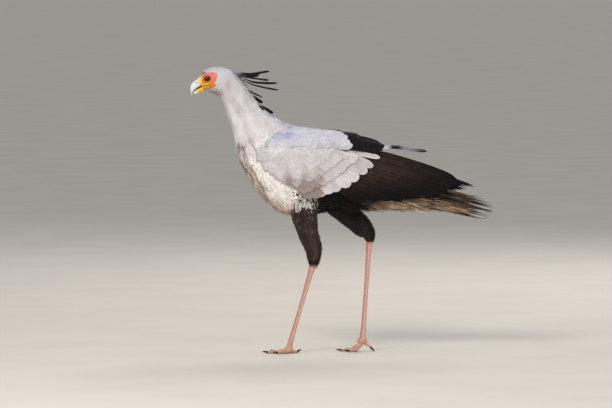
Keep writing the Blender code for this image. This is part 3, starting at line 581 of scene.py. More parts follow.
bareSkin = scaleMaterial("bareSkin", 0.45, 1100.0, 0.00035, 0.06)
legScales = scaleMaterial("legScales", 0.5, 430.0, 0.0007, 0.04)
billHorn = hornMaterial("billHorn", 0.32, 160.0)
clawHorn = hornMaterial("clawHorn", 0.35, 320.0)


# how far from the middle each ring of the eye ends
eyeRings = dict(pupil=(0.0036, 0.0042), iris=(0.0058, 0.0072))


def eyeMaterial():
    # rings of colour round the pupil, seen from either side
    material, tree, shader = startMaterial("wetEye", 0.05, coat=0.3, gloss=0.3)
    shader.inputs["Coat Roughness"].default_value = 0.02
    place = tree.nodes.new("ShaderNodeTexCoord")
    split = tree.nodes.new("ShaderNodeSeparateXYZ")
    tree.links.new(place.outputs["Object"], split.inputs[0])
    x = mathNode(tree, "SUBTRACT", split.outputs[0], eyePlace[0] + shiftX)
    z = mathNode(tree, "SUBTRACT", split.outputs[2], eyePlace[2])
    squares = [mathNode(tree, "MULTIPLY", value, value) for value in (x, z)]
    far = mathNode(tree, "SQRT", mathNode(tree, "ADD", *squares))
    fibre = noiseNode(tree, 900.0, 4.0)
    iris = mixNode(tree, fibre, colours["irisDark"], colours["irisLight"])
    outPupil = rangeNode(tree, far, *eyeRings["pupil"], 0.0, 1.0)
    outIris = rangeNode(tree, far, *eyeRings["iris"], 0.0, 1.0)
    ring = mixNode(tree, outPupil, colours["pupil"], iris)
    rim = mixNode(tree, outIris, ring, colours["eyeRim"])
    tree.links.new(rim, shader.inputs["Base Color"])
    return material


wetEye = eyeMaterial()
print("materials made")


# Skin

def pickOnly(*pieces):
    bpy.ops.object.select_all(action="DESELECT")
    for piece in pieces:
        piece.select_set(True)
    bpy.context.view_layer.objects.active = pieces[0]


def dropUnwraps(piece):
    while piece.data.uv_layers:
        piece.data.uv_layers.remove(piece.data.uv_layers[0])


def gridSkin(name, rings, closeEnds=True, tint=None):
    # a tube over rings of points, made from a grid that is rolled up
    rows, around = rings.shape[:2]
    bpy.ops.object.select_all(action="DESELECT")
    bpy.ops.mesh.primitive_grid_add(x_subdivisions=around, y_subdivisions=rows - 1, size=1)
    piece = bpy.context.active_object
    piece.name = piece.data.name = name
    rolled = np.concatenate([rings, rings[:, :1]], 1)
    piece.data.vertices.foreach_set("co", rolled.astype(np.float32).ravel())
    if tint is not None:
        setTint(piece.data, np.concatenate([tint, tint[:, :1]], 1).reshape(-1, 3))
    dropUnwraps(piece)
    bpy.ops.object.mode_set(mode="EDIT")
    bpy.ops.mesh.select_all(action="SELECT")
    bpy.ops.mesh.remove_doubles(threshold=1e-6)
    if closeEnds:
        bpy.ops.mesh.select_all(action="DESELECT")
        bpy.ops.mesh.select_mode(type="EDGE")
        bpy.ops.mesh.select_non_manifold()
        bpy.ops.mesh.fill_holes(sides=0)
    bpy.ops.mesh.select_all(action="SELECT")
    bpy.ops.mesh.normals_make_consistent(inside=False)
    bpy.ops.object.mode_set(mode="OBJECT")
    return piece


def meshPoints(piece):
    points = np.zeros(len(piece.data.vertices) * 3, np.float32)
    piece.data.vertices.foreach_get("co", points)
    return points.reshape(-1, 3).astype(float)


def finishPiece(piece, material, nodes=(), angle=50):
    pickOnly(piece)
    bpy.ops.object.shade_smooth_by_angle(angle=math.radians(angle))
    piece.data.materials.clear()
    piece.data.materials.append(material)
    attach(piece, "root")
    if nodes:
        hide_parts(*nodes)


# The bare face, in millimetres ahead of and above the eye's middle
faceSettings = dict(
    outline=((21.5, 7.0), (15.0, 12.6), (6.0, 17.4), (-7.5, 19.4), (-22.5, 18.8), (-29.0, 15.0), (-29.8, 6.0),
             (-25.5, -4.8), (-20.0, -12.0), (-24.6, -16.8), (-24.0, -21.8), (-12.0, -25.2), (0.0, -29.7),
             (12.0, -33.6), (15.5, -34.0), (17.5, -22.0), (20.0, -8.0)),
    mouth=((18.5, -23.0), (13.2, -21.6), (6.0, -20.0), (-1.8, -18.8), (-9.0, -18.6), (-16.0, -19.0)),
    eyeLength=8.1, eyeHeight=6.7, soft=1.2, around=480, steps=62,
)


def facePoint(ahead, side, above):
    # the place of a point on the face, given in millimetres
    return eyePlace[0] + shiftX - ahead * 0.001, side * 0.001, eyePlace[2] + above * 0.001


def faceCoordinates(points):
    ahead = -(points[..., 0] - shiftX - eyePlace[0]) * 1000
    above = (points[..., 2] - eyePlace[2]) * 1000
    return ahead, above


def lineDistance(ahead, above, line):
    # how far these places are from a line of points
    best = np.full(np.shape(ahead), 1e9)
    for (x0, z0), (x1, z1) in zip(line, line[1:]):
        share = ((ahead - x0) * (x1 - x0) + (above - z0) * (z1 - z0)) / ((x1 - x0) ** 2 + (z1 - z0) ** 2)
        share = np.clip(share, 0, 1)
        best = np.minimum(best, np.hypot(ahead - x0 - share * (x1 - x0), above - z0 - share * (z1 - z0)))
    return best


def outlineReach():
    # how far the bare skin goes from the eye's middle, for every half degree, with its corners rounded
    turns = np.radians(np.arange(0, 360, 0.5))
    corners = np.array(faceSettings["outline"])
    reach = np.full(len(turns), 1e9)
    for a, b in zip(corners, np.roll(corners, -1, axis=0)):
        edge = b - a
        cross = np.cos(turns) * edge[1] - np.sin(turns) * edge[0]
        far = (a[0] * edge[1] - a[1] * edge[0]) / cross
        at = (a[0] * np.sin(turns) - a[1] * np.cos(turns)) / cross
        hit = (at >= 0) & (at <= 1) & (far > 0)
        reach = np.where(hit, np.minimum(reach, far), reach)
    reach += (0.55 * np.sin(9 * turns + 1) + 0.45 * np.sin(17 * turns)) * smooth(0.2, -0.6, np.cos(turns))
    wide = np.concatenate([reach[-6:], reach, reach[:6]])
    return turns, np.convolve(wide, np.full(13, 1 / 13), "valid")


edgeTurns, edgeReach = outlineReach()


def insideFace(ahead, above):
    # millimetres inside the bare skin's edge, less than 0 outside
    turn = np.mod(np.arctan2(above, ahead), 2 * math.pi)
    return np.interp(turn, edgeTurns, edgeReach, period=2 * math.pi) - np.hypot(ahead, above)


def bareness(points):
    # 1 on the bare face and 0 in the feathers
    return smooth(-faceSettings["soft"], faceSettings["soft"], insideFace(*faceCoordinates(points)))


def faceColour(points):
    ahead, above = faceCoordinates(points)
    mouth = lineDistance(ahead, above, faceSettings["mouth"])
    coral = 0.35 * spot(ahead + 4.0, 8.0, above + 10.5, 3.0)
    worn = bell(insideFace(ahead, above), 2.2) * smooth(2, -14, ahead)
    return layTints(
        colours["orange"],
        ("red", np.clip(smooth(-2.0, 7.0, above - 0.45 * ahead) + coral, 0, 1)),
        ("yellow", (1 - smooth(4.5, 8.0, mouth)) * smooth(-10, 2, ahead)),
        ("jaw", smooth(-20.5, -23.0, above + 0.35 * ahead) * smooth(-14, -4, ahead)),
        ("facePale", 0.85 * smooth(11.5, 20.0, ahead) * smooth(-22, -10, above)),
        ("faceRear", 0.30 * smooth(-20, -28, ahead) * smooth(-4, 4, above) + 0.45 * worn),
    )


# the fold along the breast's keel, where a line of painted shade is laid: x and z
streakSettings = dict(
    fold=((-0.285, 0.575), (-0.262, 0.545), (-0.245, 0.515), (-0.228, 0.480), (-0.213, 0.447)),
    foldHalf=0.0028,
)


def markings(points):
    # the colours of the small feathers, and of the skin under them
    x, z = points[:, 0] - shiftX, points[:, 2]
    backLine = np.interp(x, (-0.34, -0.25, -0.18, -0.05), (0.82, 0.735, 0.66, 0.60))
    bellyLine = np.interp(x, (-0.32, -0.25, -0.15, -0.05), (0.615, 0.575, 0.525, 0.49))
    keelLine = np.interp(x, (-0.28, -0.21, -0.15), (0.560, 0.455, 0.432))
    back = smooth(-0.02, 0.03, z - backLine)
    belly = smooth(0.012, -0.02, z - bellyLine)
    fold = bell(lineDistance(x, z, streakSettings["fold"]), streakSettings["foldHalf"])
    rear = smooth(-0.105, -0.070, x + 0.25 * (z - 0.45))
    headTint = layTints(colours["crown"], ("cheek", smooth(0.83, 0.79, z)))
    neckTint = layTints(
        colours["neck"],
        ("nape", back),
        ("mantle", smooth(0.74, 0.69, z) * back),
        ("breast", smooth(0.70, 0.60, z) * (1 - back)),
    )
    return layTints(
        between(neckTint, headTint, smooth(-0.335, -0.365, x)[:, None]),
        ("belly", belly),
        # buff, darker towards the belly's bottom below the keel's line, is painted shade
        ("buffShade", 0.44 * smooth(0.030, -0.012, z - keelLine) * belly),
        # a dark line of painted shade in the fold between the breast and the belly
        ("foldShade", 0.55 * fold),
        ("black", rear * smooth(0.56, 0.52, z)),
        ("black", smooth(-0.012, 0.010, x)),
    )


skinSettings = dict(coatDepth=0.0030, bareDepth=0.0016, around=128, headStep=0.09, bodyStep=0.18)


def buildSkin():
    headPlaces = np.arange(0, 6, skinSettings["headStep"])
    places = np.concatenate([headPlaces, np.arange(6, 21.01, skinSettings["bodyStep"])])
    place, angle = turnsRound(places, skinSettings["around"])
    bare = bareness(bodySurface(place, angle))
    depth = between(skinSettings["coatDepth"], skinSettings["bareDepth"], bare)
    rings = bodySurface(place, angle, -depth)
    ahead, above = faceCoordinates(rings)
    hollow = (1 - smooth(7.4, 9.6, np.hypot(ahead, above))) * (np.abs(rings[..., 1]) > 0.008)
    rings[..., 1] -= np.sign(rings[..., 1]) * 0.0120 * hollow
    skin = gridSkin("skin", rings)
    others = []
    for side, sign in sides.items():
        place, angle = turnsRound(np.arange(0, len(thighTables[side]) - 0.99, 0.2), 28)
        others.append(gridSkin("thighSkin", thighSurface(side)(place, angle, -0.0030)))
        others.append(armSkin(sign))
    bpy.ops.object.select_all(action="DESELECT")
    joinAll(skin, others)
    points = meshPoints(skin)
    bare = bareness(points)[:, None]
    setTint(skin.data, between(markings(points), faceColour(points), bare))
    nodes = ["head", "neck", "torso", "tail", "thigh_left", "thigh_right", "wing_left", "wing_right"]
    finishPiece(skin, bareSkin, nodes)
    print(f"skin: {len(skin.data.polygons)} faces")


def joinAll(piece, others):
    for other in others:
        step = piece.modifiers.new("join", "BOOLEAN")
        step.operation = "UNION"
        step.solver = "MANIFOLD"
        step.object = other
        bpy.context.view_layer.objects.active = piece
        bpy.ops.object.modifier_apply(modifier=step.name)
        bpy.data.objects.remove(other)


def armSkin(sign):
    # the wing's fleshy arm, a pad under its coverts
    surface = wingSurface(sign)
    rows = splineRows(armTable, np.linspace(0, len(armTable) - 1, 40))
    rings = []
    for x, upper, lower in rows:
        zs = np.linspace(upper, lower, 16)
        angles = wingAngle(np.full(16, x), zs)
        rim = np.minimum(1, 3.2 * np.minimum(np.linspace(0, 1, 16), np.linspace(1, 0, 16)))
        outer = surface(np.full(16, x), angles, -0.0085 + 0.0035 * rim)
        inner = surface(np.full(16, x), angles, -0.030)[::-1]
        rings.append(np.concatenate([outer, inner]))
    return gridSkin("armSkin", np.array(rings))


buildSkin()


# Eyes, lids and bare face

def headDepths(ahead, above):
    # half width of the head at these places, in millimetres
    place, angle = turnsRound(np.arange(0, 6.01, 0.05), 180)
    index = np.arange(place.size).reshape(place.shape)
    beside = np.roll(index, -1, axis=1)
    quads = np.stack([index[:-1], beside[:-1], beside[1:], index[1:]], -1).reshape(-1, 4)
    head = BVHTree.FromPolygons(bodySurface(place, angle).reshape(-1, 3).tolist(), quads.tolist())
    depths = np.zeros(ahead.size)
    farAside = 200.0
    for i, (forward, up) in enumerate(zip(ahead.ravel(), above.ravel())):
        hit = head.ray_cast(Vector(facePoint(forward, farAside, up)), Vector((0, -1, 0)))[0]
        depths[i] = hit.y * 1000 if hit else 3.0
    return depths.reshape(ahead.shape)


def faceForm():
    # Rings from the eyelids' edge to the bare skin's edge: millimetres ahead, above and to the side.
    turn = np.linspace(0, 2 * math.pi, faceSettings["around"], endpoint=False)[None]
    corner = 1.3 * (bell(np.sin(turn / 2), 0.10) + bell(np.cos(turn / 2), 0.10))
    oval = np.cos(turn) / faceSettings["eyeLength"], np.sin(turn) / faceSettings["eyeHeight"]
    rim = 1 / np.hypot(*oval) + corner
    edge = np.interp(turn, edgeTurns, edgeReach, period=2 * math.pi)
    share = (np.linspace(0, 1, faceSettings["steps"]) ** 1.35)[:, None]
    reach = rim + (edge - rim) * share
    reach = np.concatenate([rim - 0.5, reach])
    ahead, above = reach * np.cos(turn), reach * np.sin(turn)
    off = reach - rim
    left = edge - reach
    ball = np.maximum((eyeRadius * 1000) ** 2 - np.minimum(rim, 10.2) ** 2, 0)
    eyeEdge = eyePlace[1] * 1000 + np.sqrt(ball)
    upper = 0.5 + 0.5 * np.sin(turn)
    wave = np.sin(ahead * 0.55 + 1.0) * np.sin(above * 0.7)
    side = between(eyeEdge + 0.45 + 0.16 * off, headDepths(ahead, above), smooth(0.2, 4.2, off))
    side += (0.55 + 0.55 * upper) * bell(off - 1.0, 0.75)
    side -= (0.30 + 0.25 * upper) * bell(off - 2.7, 0.50)
    side += 0.35 * bell(off - 4.0, 0.90)
    side += 0.13 * np.sin(off * 3.3 + 1.6 * wave) * np.exp(-off / 8.0) * smooth(2.5, 5.0, off)
    side += 1.5 * spot(above - 11.5 - 0.15 * ahead, 2.8, ahead - 1.0, 11.0)
    mouth = lineDistance(ahead, above, faceSettings["mouth"])
    fade = smooth(-17.0, -6.0, ahead)
    side += 0.85 * bell(mouth - 1.9, 1.1) * (0.35 + 0.65 * fade)
    side -= 1.7 * bell(mouth, 0.62) * fade
    crease = np.sin(ahead * 1.7 + above * 0.6 + wave) * np.sin(above * 1.9 - ahead * 0.3)
    side += 0.20 * crease * smooth(4, 8, off)
    side += 0.45 * bell(left - 2.4, 1.2) * smooth(-8, -16, ahead)
    side -= 2.2 * (1 - smooth(0.0, 1.9, left))
    side[0] = eyeEdge[0] - 1.2
    return ahead, above, side, off, mouth, fade


faceAhead, faceAbove, faceSide, faceOff, faceMouth, faceFade = faceForm()


def buildFace(side, sign):
    points = np.stack(facePoint(faceAhead, sign * faceSide, faceAbove), -1)
    tint = layTints(
        faceColour(points),
        ("lid", 0.45 * bell(faceOff - 1.6, 1.2)),
        ("lidEdge", 1 - smooth(0.35, 1.0, faceOff)),
        # a near black line of painted shade along the gape's groove, fading towards the back
        ("mouthLine", (1 - smooth(0.45, 1.0, faceMouth)) * faceFade),
    )
    face = gridSkin("face" + side.capitalize(), points, tint=tint)
    finishPiece(face, bareSkin, angle=80)


def buildEye(side, sign):
    bpy.ops.object.select_all(action="DESELECT")
    place = (eyePlace[0] + shiftX, sign * eyePlace[1], eyePlace[2])
    bpy.ops.mesh.primitive_uv_sphere_add(segments=64, ring_count=40, radius=eyeRadius, location=place,
                                         rotation=(math.pi / 2, 0, 0))
    eye = bpy.context.active_object
    eye.name = eye.data.name = "eye" + side.capitalize()
    bpy.ops.object.transform_apply(location=True, rotation=True, scale=True)
    finishPiece(eye, wetEye, ["eye_" + side], 180)


for side, sign in sides.items():
    buildEye(side, sign)
    buildFace(side, sign)
print("eyes and bare face made")


# Bill

billSettings = dict(
    upper=np.array([
        (-0.4165, 0.8335, -0.4120, 0.8025, 0.0122),
        (-0.4218, 0.8310, -0.4166, 0.8005, 0.0126),
        (-0.4326, 0.8205, -0.4230, 0.7980, 0.0098),
        (-0.4425, 0.8130, -0.4315, 0.7935, 0.0078),
        (-0.4494, 0.8040, -0.4383, 0.7885, 0.0058),
        (-0.4518, 0.7935, -0.4430, 0.7835, 0.0038),
        (-0.4506, 0.7820, -0.4456, 0.7790, 0.0021),
        (-0.4484, 0.7735, -0.4470, 0.7730, 0.0008),
    ]),
    lower=np.array([
        (-0.4110, 0.8025, -0.4085, 0.7878, 0.0108),
        (-0.4166, 0.8010, -0.4143, 0.7860, 0.0116),
        (-0.4245, 0.7971, -0.4221, 0.7818, 0.0090),
        (-0.4328, 0.7923, -0.4311, 0.7772, 0.0065),
        (-0.4388, 0.7870, -0.4372, 0.7762, 0.0043),
        (-0.4424, 0.7817, -0.4412, 0.7768, 0.0017),
    ]),
    lining=np.array([
        (-0.4090, 0.8035, -0.4075, 0.7990, 0.0105),
        (-0.4166, 0.8020, -0.4160, 0.7980, 0.0112),
        (-0.4232, 0.7992, -0.4240, 0.7942, 0.0086),
        (-0.4318, 0.7948, -0.4322, 0.7894, 0.0061),
        (-0.4386, 0.7898, -0.4381, 0.7845, 0.0040),
        (-0.4430, 0.7847, -0.4414, 0.7800, 0.0018),
    ]),
    nostril=(-0.4340, 0.8108), nostrilSize=(0.0036, 0.0013), cereEnd=1.35,
)


def billRings(table, around, steps, squareness):
    place, angle = turnsRound(np.linspace(0, len(table) - 1, steps), around)
    return sectionPoints(table, place, angle, squareness), place, angle


def buildUpperBill():
    rings, place, angle = billRings(billSettings["upper"], 72, 110, 2.1)
    place = place - 1
    cereEnd = billSettings["cereEnd"]
    rings[..., 1] *= 1 + 0.06 * (1 - smooth(cereEnd - 0.10, cereEnd + 0.10, place - 0.25 * np.cos(angle)))
    x0, z0 = billSettings["nostril"]
    slope = np.array((0.80, 0.60))
    dx, dz = rings[..., 0] - shiftX - x0, rings[..., 2] - z0
    long, short = billSettings["nostrilSize"]
    pit = np.hypot((dx * slope[0] + dz * slope[1]) / long, (-dx * slope[1] + dz * slope[0]) / short)
    rings[..., 1] *= 1 - 0.38 * (1 - smooth(0.55, 1.15, pit)) * (np.abs(rings[..., 1]) > 0.003)
    under = np.abs(angle - math.pi)
    rings[..., 1] *= 1 + 0.06 * bell(under - 0.85, 0.16) * smooth(0.3, 1.2, place)
    x, z = rings[..., 0] - shiftX, rings[..., 2]
    tint = layTints(
        colours["billCream"],
        ("billPale", smooth(-0.423, -0.434, x + 0.35 * (z - 0.81))),
        ("cere", 0.8 * smooth(-0.4285, -0.4200, x)),
        ("billTip", 0.5 * smooth(0.797, 0.778, z) * smooth(-0.440, -0.446, x)),
        # the nostril's pit is painted dark, as painted shade in the hollow
        ("nostril", 1 - smooth(0.5, 1.1, pit)),
        # darker underneath, where the lower bill meets it: painted shade of the gap between the bill's halves
        ("billEdge", 1 - smooth(0.34, 0.50, under)),
        ("billWarm", 0.6 * bell(under - 0.85, 0.25) * (1 - smooth(0.6, 1.6, place))),
    )
    bill = gridSkin("billUpper", rings, tint=tint)
    finishPiece(bill, billHorn, ["bill_upper"])


def buildLowerBill():
    rings, _, angle = billRings(billSettings["lower"], 56, 70, 2.1)
    tint = layTints(
        colours["lowerBill"],
        ("lowerPale", smooth(-0.4285, -0.4370, rings[..., 0] - shiftX)),
        # darker on top, where the upper bill meets it: painted shade of the gap between the bill's halves
        ("billEdge", 1 - smooth(0.30, 0.55, np.minimum(angle, 2 * math.pi - angle))),
    )
    bill = gridSkin("billLower", rings, tint=tint)
    finishPiece(bill, billHorn, ["bill_lower"])
    # a sheet between the bills, painted near black as the shade inside the mouth
    rings = billRings(billSettings["lining"], 32, 40, 2.0)[0]
    lining = gridSkin("mouthLining", rings, tint=np.broadcast_to(colours["mouthLining"], rings.shape))
    finishPiece(lining, bareSkin)


buildUpperBill()
buildLowerBill()
print("bill made")


# Coat of small feathers on the body

def rowsOfRoots(surface, start, end, stepAlong, stepRound, closed=2 * math.pi, low=0.0):
    # roots in even rows round a surface, every other row moved by half a step
    fine = np.linspace(start, end, 240)
    angles = np.linspace(low, low + closed, 97)
    grid = surface(fine[:, None], angles[None])
    along = np.linalg.norm(np.diff(grid, axis=0), axis=-1).mean(1)
    reached = np.concatenate([[0], np.cumsum(along)])
    u, v = [], []
    for n, place in enumerate(np.interp(np.arange(0, reached[-1], stepAlong), reached, fine)):
        ring = surface(np.full(97, place), angles)
        girth = np.concatenate([[0], np.cumsum(np.linalg.norm(np.diff(ring, axis=0), axis=-1))])
        number = max(6, int(girth[-1] / stepRound))
        at = (np.arange(number) + 0.5 * (n % 2) + dice.uniform(-0.28, 0.28, number)) / number * girth[-1]
        v.append(np.interp(np.mod(at, girth[-1]), girth, angles))
        u.append(place + dice.uniform(-0.3, 0.3, number) * stepAlong * (end - start) / reached[-1])
    return np.concatenate(u), np.concatenate(v)


coatLayers = dict(
    head=dict(start=0.12, end=6.3, along=0.0021, round=0.0017, length=0.0088,
              half=0.0014, lift=0.0007, loose=0.5, shape="tiny"),
    neck=dict(start=5.7, end=10.4, along=0.0038, round=0.0029, length=0.0190,
              half=0.0025, lift=0.0014, loose=1.0, shape="small"),
    torso=dict(start=9.9, end=19.5, along=0.0060, round=0.0050, length=0.0280,
               half=0.0046, lift=0.0018, loose=0.8, shape="small"),
)


def underWing(points):
    # True well inside the folded wing's outline, where the body's own coat is hidden
    x, z = points[:, 0] - shiftX, points[:, 2]
    upper = np.interp(x, (-0.20, -0.12, -0.03, 0.03, 0.12, 0.25), (0.60, 0.640, 0.640, 0.625, 0.60, 0.56))
    lower = np.interp(x, (-0.20, -0.12, -0.03, 0.03, 0.12, 0.25), (0.575, 0.52, 0.510, 0.500, 0.49, 0.49))
    return (x > -0.20) & (z < upper) & (z > lower) & (np.abs(points[:, 1]) > 0.02)


# how the small feathers of the coat and the thighs are formed
smallVane = dict(cup=0.22, thick=0.00015, rough=0.25, flat=True)


def coatLayer(title):
    layer = coatLayers[title]
    u, v = rowsOfRoots(bodySurface, layer["start"], layer["end"], layer["along"], layer["round"])
    roots = bodySurface(u, v)
    keep = (bareness(roots) < 0.30) & ~underWing(roots)
    u, v, roots = u[keep], v[keep], roots[keep]
    count = len(u)
    fromEye = np.hypot(roots[:, 0] - shiftX - eyePlace[0] + 0.01, roots[:, 2] - eyePlace[2])
    near = smooth(0.055, 0.02, fromEye)
    offBack = np.minimum(v, 2 * math.pi - v)
    mantle = smooth(1.35, 0.85, offBack) * smooth(9.6, 11.0, u) * smooth(16.8, 15.2, u)
    length = layer["length"] * (1 - 0.40 * near + 0.30 * mantle) * dice.uniform(0.82, 1.18, count)
    half = layer["half"] * (1 - 0.30 * near + 0.55 * mantle) * dice.uniform(0.85, 1.15, count)
    shares, widths = vaneShapes[layer["shape"]]
    loose = layer["loose"]
    uneven = clump(roots, 0.009)
    lift = layer["lift"] * dice.uniform(0.5, 1.5, count) + 0.0012 * loose * uneven + 0.0042 * mantle
    turn = dice.normal(0, 0.10, count) + 0.22 * loose * clump(roots, 0.016, 2.0)
    spine, normal = layOnSurface(bodySurface, u, v, length, turn, shares, -0.0024, lift, 1.2)
    middle = spine[:, len(shares) // 2]
    tint = markings(middle) * dice.uniform(0.94, 1.05, (count, 1))
    frontal = smooth(1.3, 0.2, np.abs(v - math.pi))
    streak = clump(np.stack([v * 0.03, u * 0.0024, 0 * u], -1), 0.0022, 1.0)
    streak = (streak * smooth(3.0, 6.0, u) * smooth(14, 10, u))[:, None]
    tint = tint * (1 + streak * np.array((0.060, 0.075, 0.085)) - 0.05 * np.abs(streak))
    calm = 1 - 0.7 * smooth(11.5, 12.5, u) * frontal
    tint = tint * (1 + (0.09 * uneven * loose + 0.06 * clump(roots, 0.03, 1.5)) * calm)[:, None]
    x, z = middle[:, 0] - shiftX, middle[:, 2]
    speckle = 0.07 * frontal * smooth(8.8, 9.8, u) * smooth(13.2, 12.0, u) * smooth(0.635, 0.605, z)
    speckled = (title != "head") & (dice.random(count) < speckle)
    tint[speckled] = tint[speckled] * 0.35 + colours["speckle"] * 0.5
    patch = spot(x + 0.339, 0.009, z - 0.803, 0.014)
    tint = tint * (1 - 0.28 * patch[:, None] * np.array((0.6, 1.0, 1.0)))
    jaw = spot(x + 0.362, 0.007, z - 0.783, 0.010) * (dice.random(count) < 0.6)
    chin = spot(x + 0.382, 0.022, z - 0.783, 0.007) * (dice.random(count) < 0.5)
    tint = tint * (1 - 0.6 * jaw[:, None]) * (1 - chin[:, None] * np.array((0.40, 0.50, 0.52)))
    ahead, above = faceCoordinates(middle)
    inside = insideFace(ahead, above)
    brow = bell(inside + 2.2, 1.8) * smooth(2, 9, above) * smooth(2, 10, ahead)
    # under: the feathers along the bare face's lower edge are darkened, a painted shadow along the feather
    # edge under the jaw
    under = bell(inside + 1.2, 1.0) * smooth(-19, -24, above)
    tint = tint * (1 - 0.80 * brow - 0.55 * under)[:, None]
    napeDark = (dice.random(count) < 0.5) * spot(x + 0.312, 0.016, z - 0.831, 0.008)
    tint = tint * (1 - 0.6 * napeDark[:, None])
    edge = smooth(0.52, 0.49, z) * smooth(-0.16, -0.125, x) * smooth(-0.06, -0.09, x)
    spotted = dice.random(count) < 0.55 * edge
    tint[spotted] = colours["brownBlack"]
    back = (title == "torso") & (dice.random(count) < 0.04) & (z > 0.655) & (x < -0.02)
    tint[back] *= 0.55
    bake = bodyBake(u, v)
    # each feather is painted darker at its root than at its tip: painted shade under the feathers that lie
    # over it
    gradient = 1 + 0.14 * (shares - 0.7)
    tints = tint[:, None] * gradient[None, :, None]
    return vanes(spine, normal, half[:, None] * widths, shares, tints, bake, **smallVane)


for name, title, slotName in (("headCoat", "head", "grey_plumage"), ("neckCoat", "neck", "grey_plumage"),
                              ("bodyCoat", "torso", "pale_plumage")):
    featherPiece(name, [coatLayer(title)], paleFeathers)


# Wing

# Each tier's line of roots and line of tips (x, z), and how far both stand off the wing's sheet.
# Half is the half width of a tier's first feather, and of those past its first third.
wingTiers = dict(
    marginal=dict(
        roots=((-0.250, 0.600), (-0.240, 0.578), (-0.205, 0.548), (-0.160, 0.522), (-0.125, 0.506)),
        tips=((-0.222, 0.604), (-0.205, 0.573), (-0.172, 0.541), (-0.130, 0.513), (-0.098, 0.497)),
        count=15, half=(0.0095, 0.0105), shape="lesser", tint="covert",
        out=0.0010, rootOut=-0.0040, lean=0.05, bow=0.0,
    ),
    scapulars=dict(
        roots=((-0.044, 0.657), (-0.032, 0.650), (-0.018, 0.640), (-0.008, 0.628)),
        tips=((0.048, 0.6510), (0.076, 0.6385), (0.090, 0.6260), (0.086, 0.6100)),
        count=7, half=(0.0105, 0.0115), shape="covert", tint="black",
        out=0.0040, rootOut=0.0006, lean=0.07, bow=0.001,
    ),
    tertials=dict(
        roots=((0.018, 0.650), (0.024, 0.636), (0.028, 0.621)),
        tips=((0.121, 0.6220), (0.128, 0.6150), (0.112, 0.6010)),
        count=7, half=(0.0115, 0.0110), shape="covert", tint="black",
        out=0.0030, rootOut=-0.0020, lean=0.07, bow=0.003,
    ),
    medianUpper=dict(
        roots=((-0.044, 0.611), (-0.060, 0.598), (-0.086, 0.580), (-0.116, 0.556), (-0.150, 0.531)),
        tips=((0.018, 0.592), (-0.008, 0.573), (-0.038, 0.551), (-0.078, 0.526), (-0.121, 0.504)),
        count=10, half=(0.0125, 0.0130), shape="covert", tint="covert",
        out=0.0046, rootOut=0.0008, lean=0.05, bow=0.0,
    ),
    median=dict(
        roots=((-0.014, 0.602), (-0.040, 0.584), (-0.070, 0.566), (-0.104, 0.541), (-0.140, 0.517)),
        tips=((0.0560, 0.586), (0.0285, 0.567), (-0.004, 0.541), (-0.050, 0.512), (-0.099, 0.489)),
        count=11, half=(0.0110, 0.0140), shape="covert", tint="covert",
        out=0.0036, rootOut=0.0002, lean=0.05, bow=0.0,
    ),
    greater=dict(
        roots=((0.010, 0.611), (0.002, 0.600), (-0.010, 0.583), (-0.032, 0.565), (-0.060, 0.550),
               (-0.082, 0.537), (-0.100, 0.525), (-0.116, 0.516), (-0.132, 0.507)),
        tips=((0.1143, 0.588), (0.0924, 0.560), (0.073, 0.538), (0.043, 0.516), (0.010, 0.4985),
              (-0.018, 0.489), (-0.043, 0.481), (-0.062, 0.474), (-0.084, 0.473)),
        count=10, half=(0.0085, 0.0205), shape="covert", tint="greater",
        out=0.0022, rootOut=-0.0024, lean=0.06, bow=0.002,
    ),
    secondaries=dict(
        roots=((0.018, 0.610), (-0.010, 0.560), (-0.050, 0.515)),
        tips=((0.350, 0.5085), (0.333, 0.4985), (0.307, 0.4855), (0.255, 0.472), (0.190, 0.461),
              (0.120, 0.457), (0.052, 0.458)),
        count=14, half=(0.0190, 0.0180), shape="long", tint="quill",
        out=-0.0022, rootOut=-0.0058, lean=0.045, bow=0.012,
    ),
    primaries=dict(
        roots=((0.006, 0.570), (-0.020, 0.530)),
        tips=((0.399, 0.500), (0.388, 0.4965), (0.366, 0.489), (0.343, 0.484), (0.318, 0.476)),
        count=7, half=(0.0115, 0.0120), shape="pointed", tint="quillTip",
        out=-0.0064, rootOut=-0.0098, lean=0.05, bow=0.014,
    ),
)
lesserSettings = dict(
    along=0.0070, round=0.0066, length=0.0270, half=0.0072, lift=0.0040, shoulder=0.0040,
    line=((-0.230, 0.6285), (-0.168, 0.6255), (-0.067, 0.6185), (-0.021, 0.6120), (0.034, 0.6050)),
)


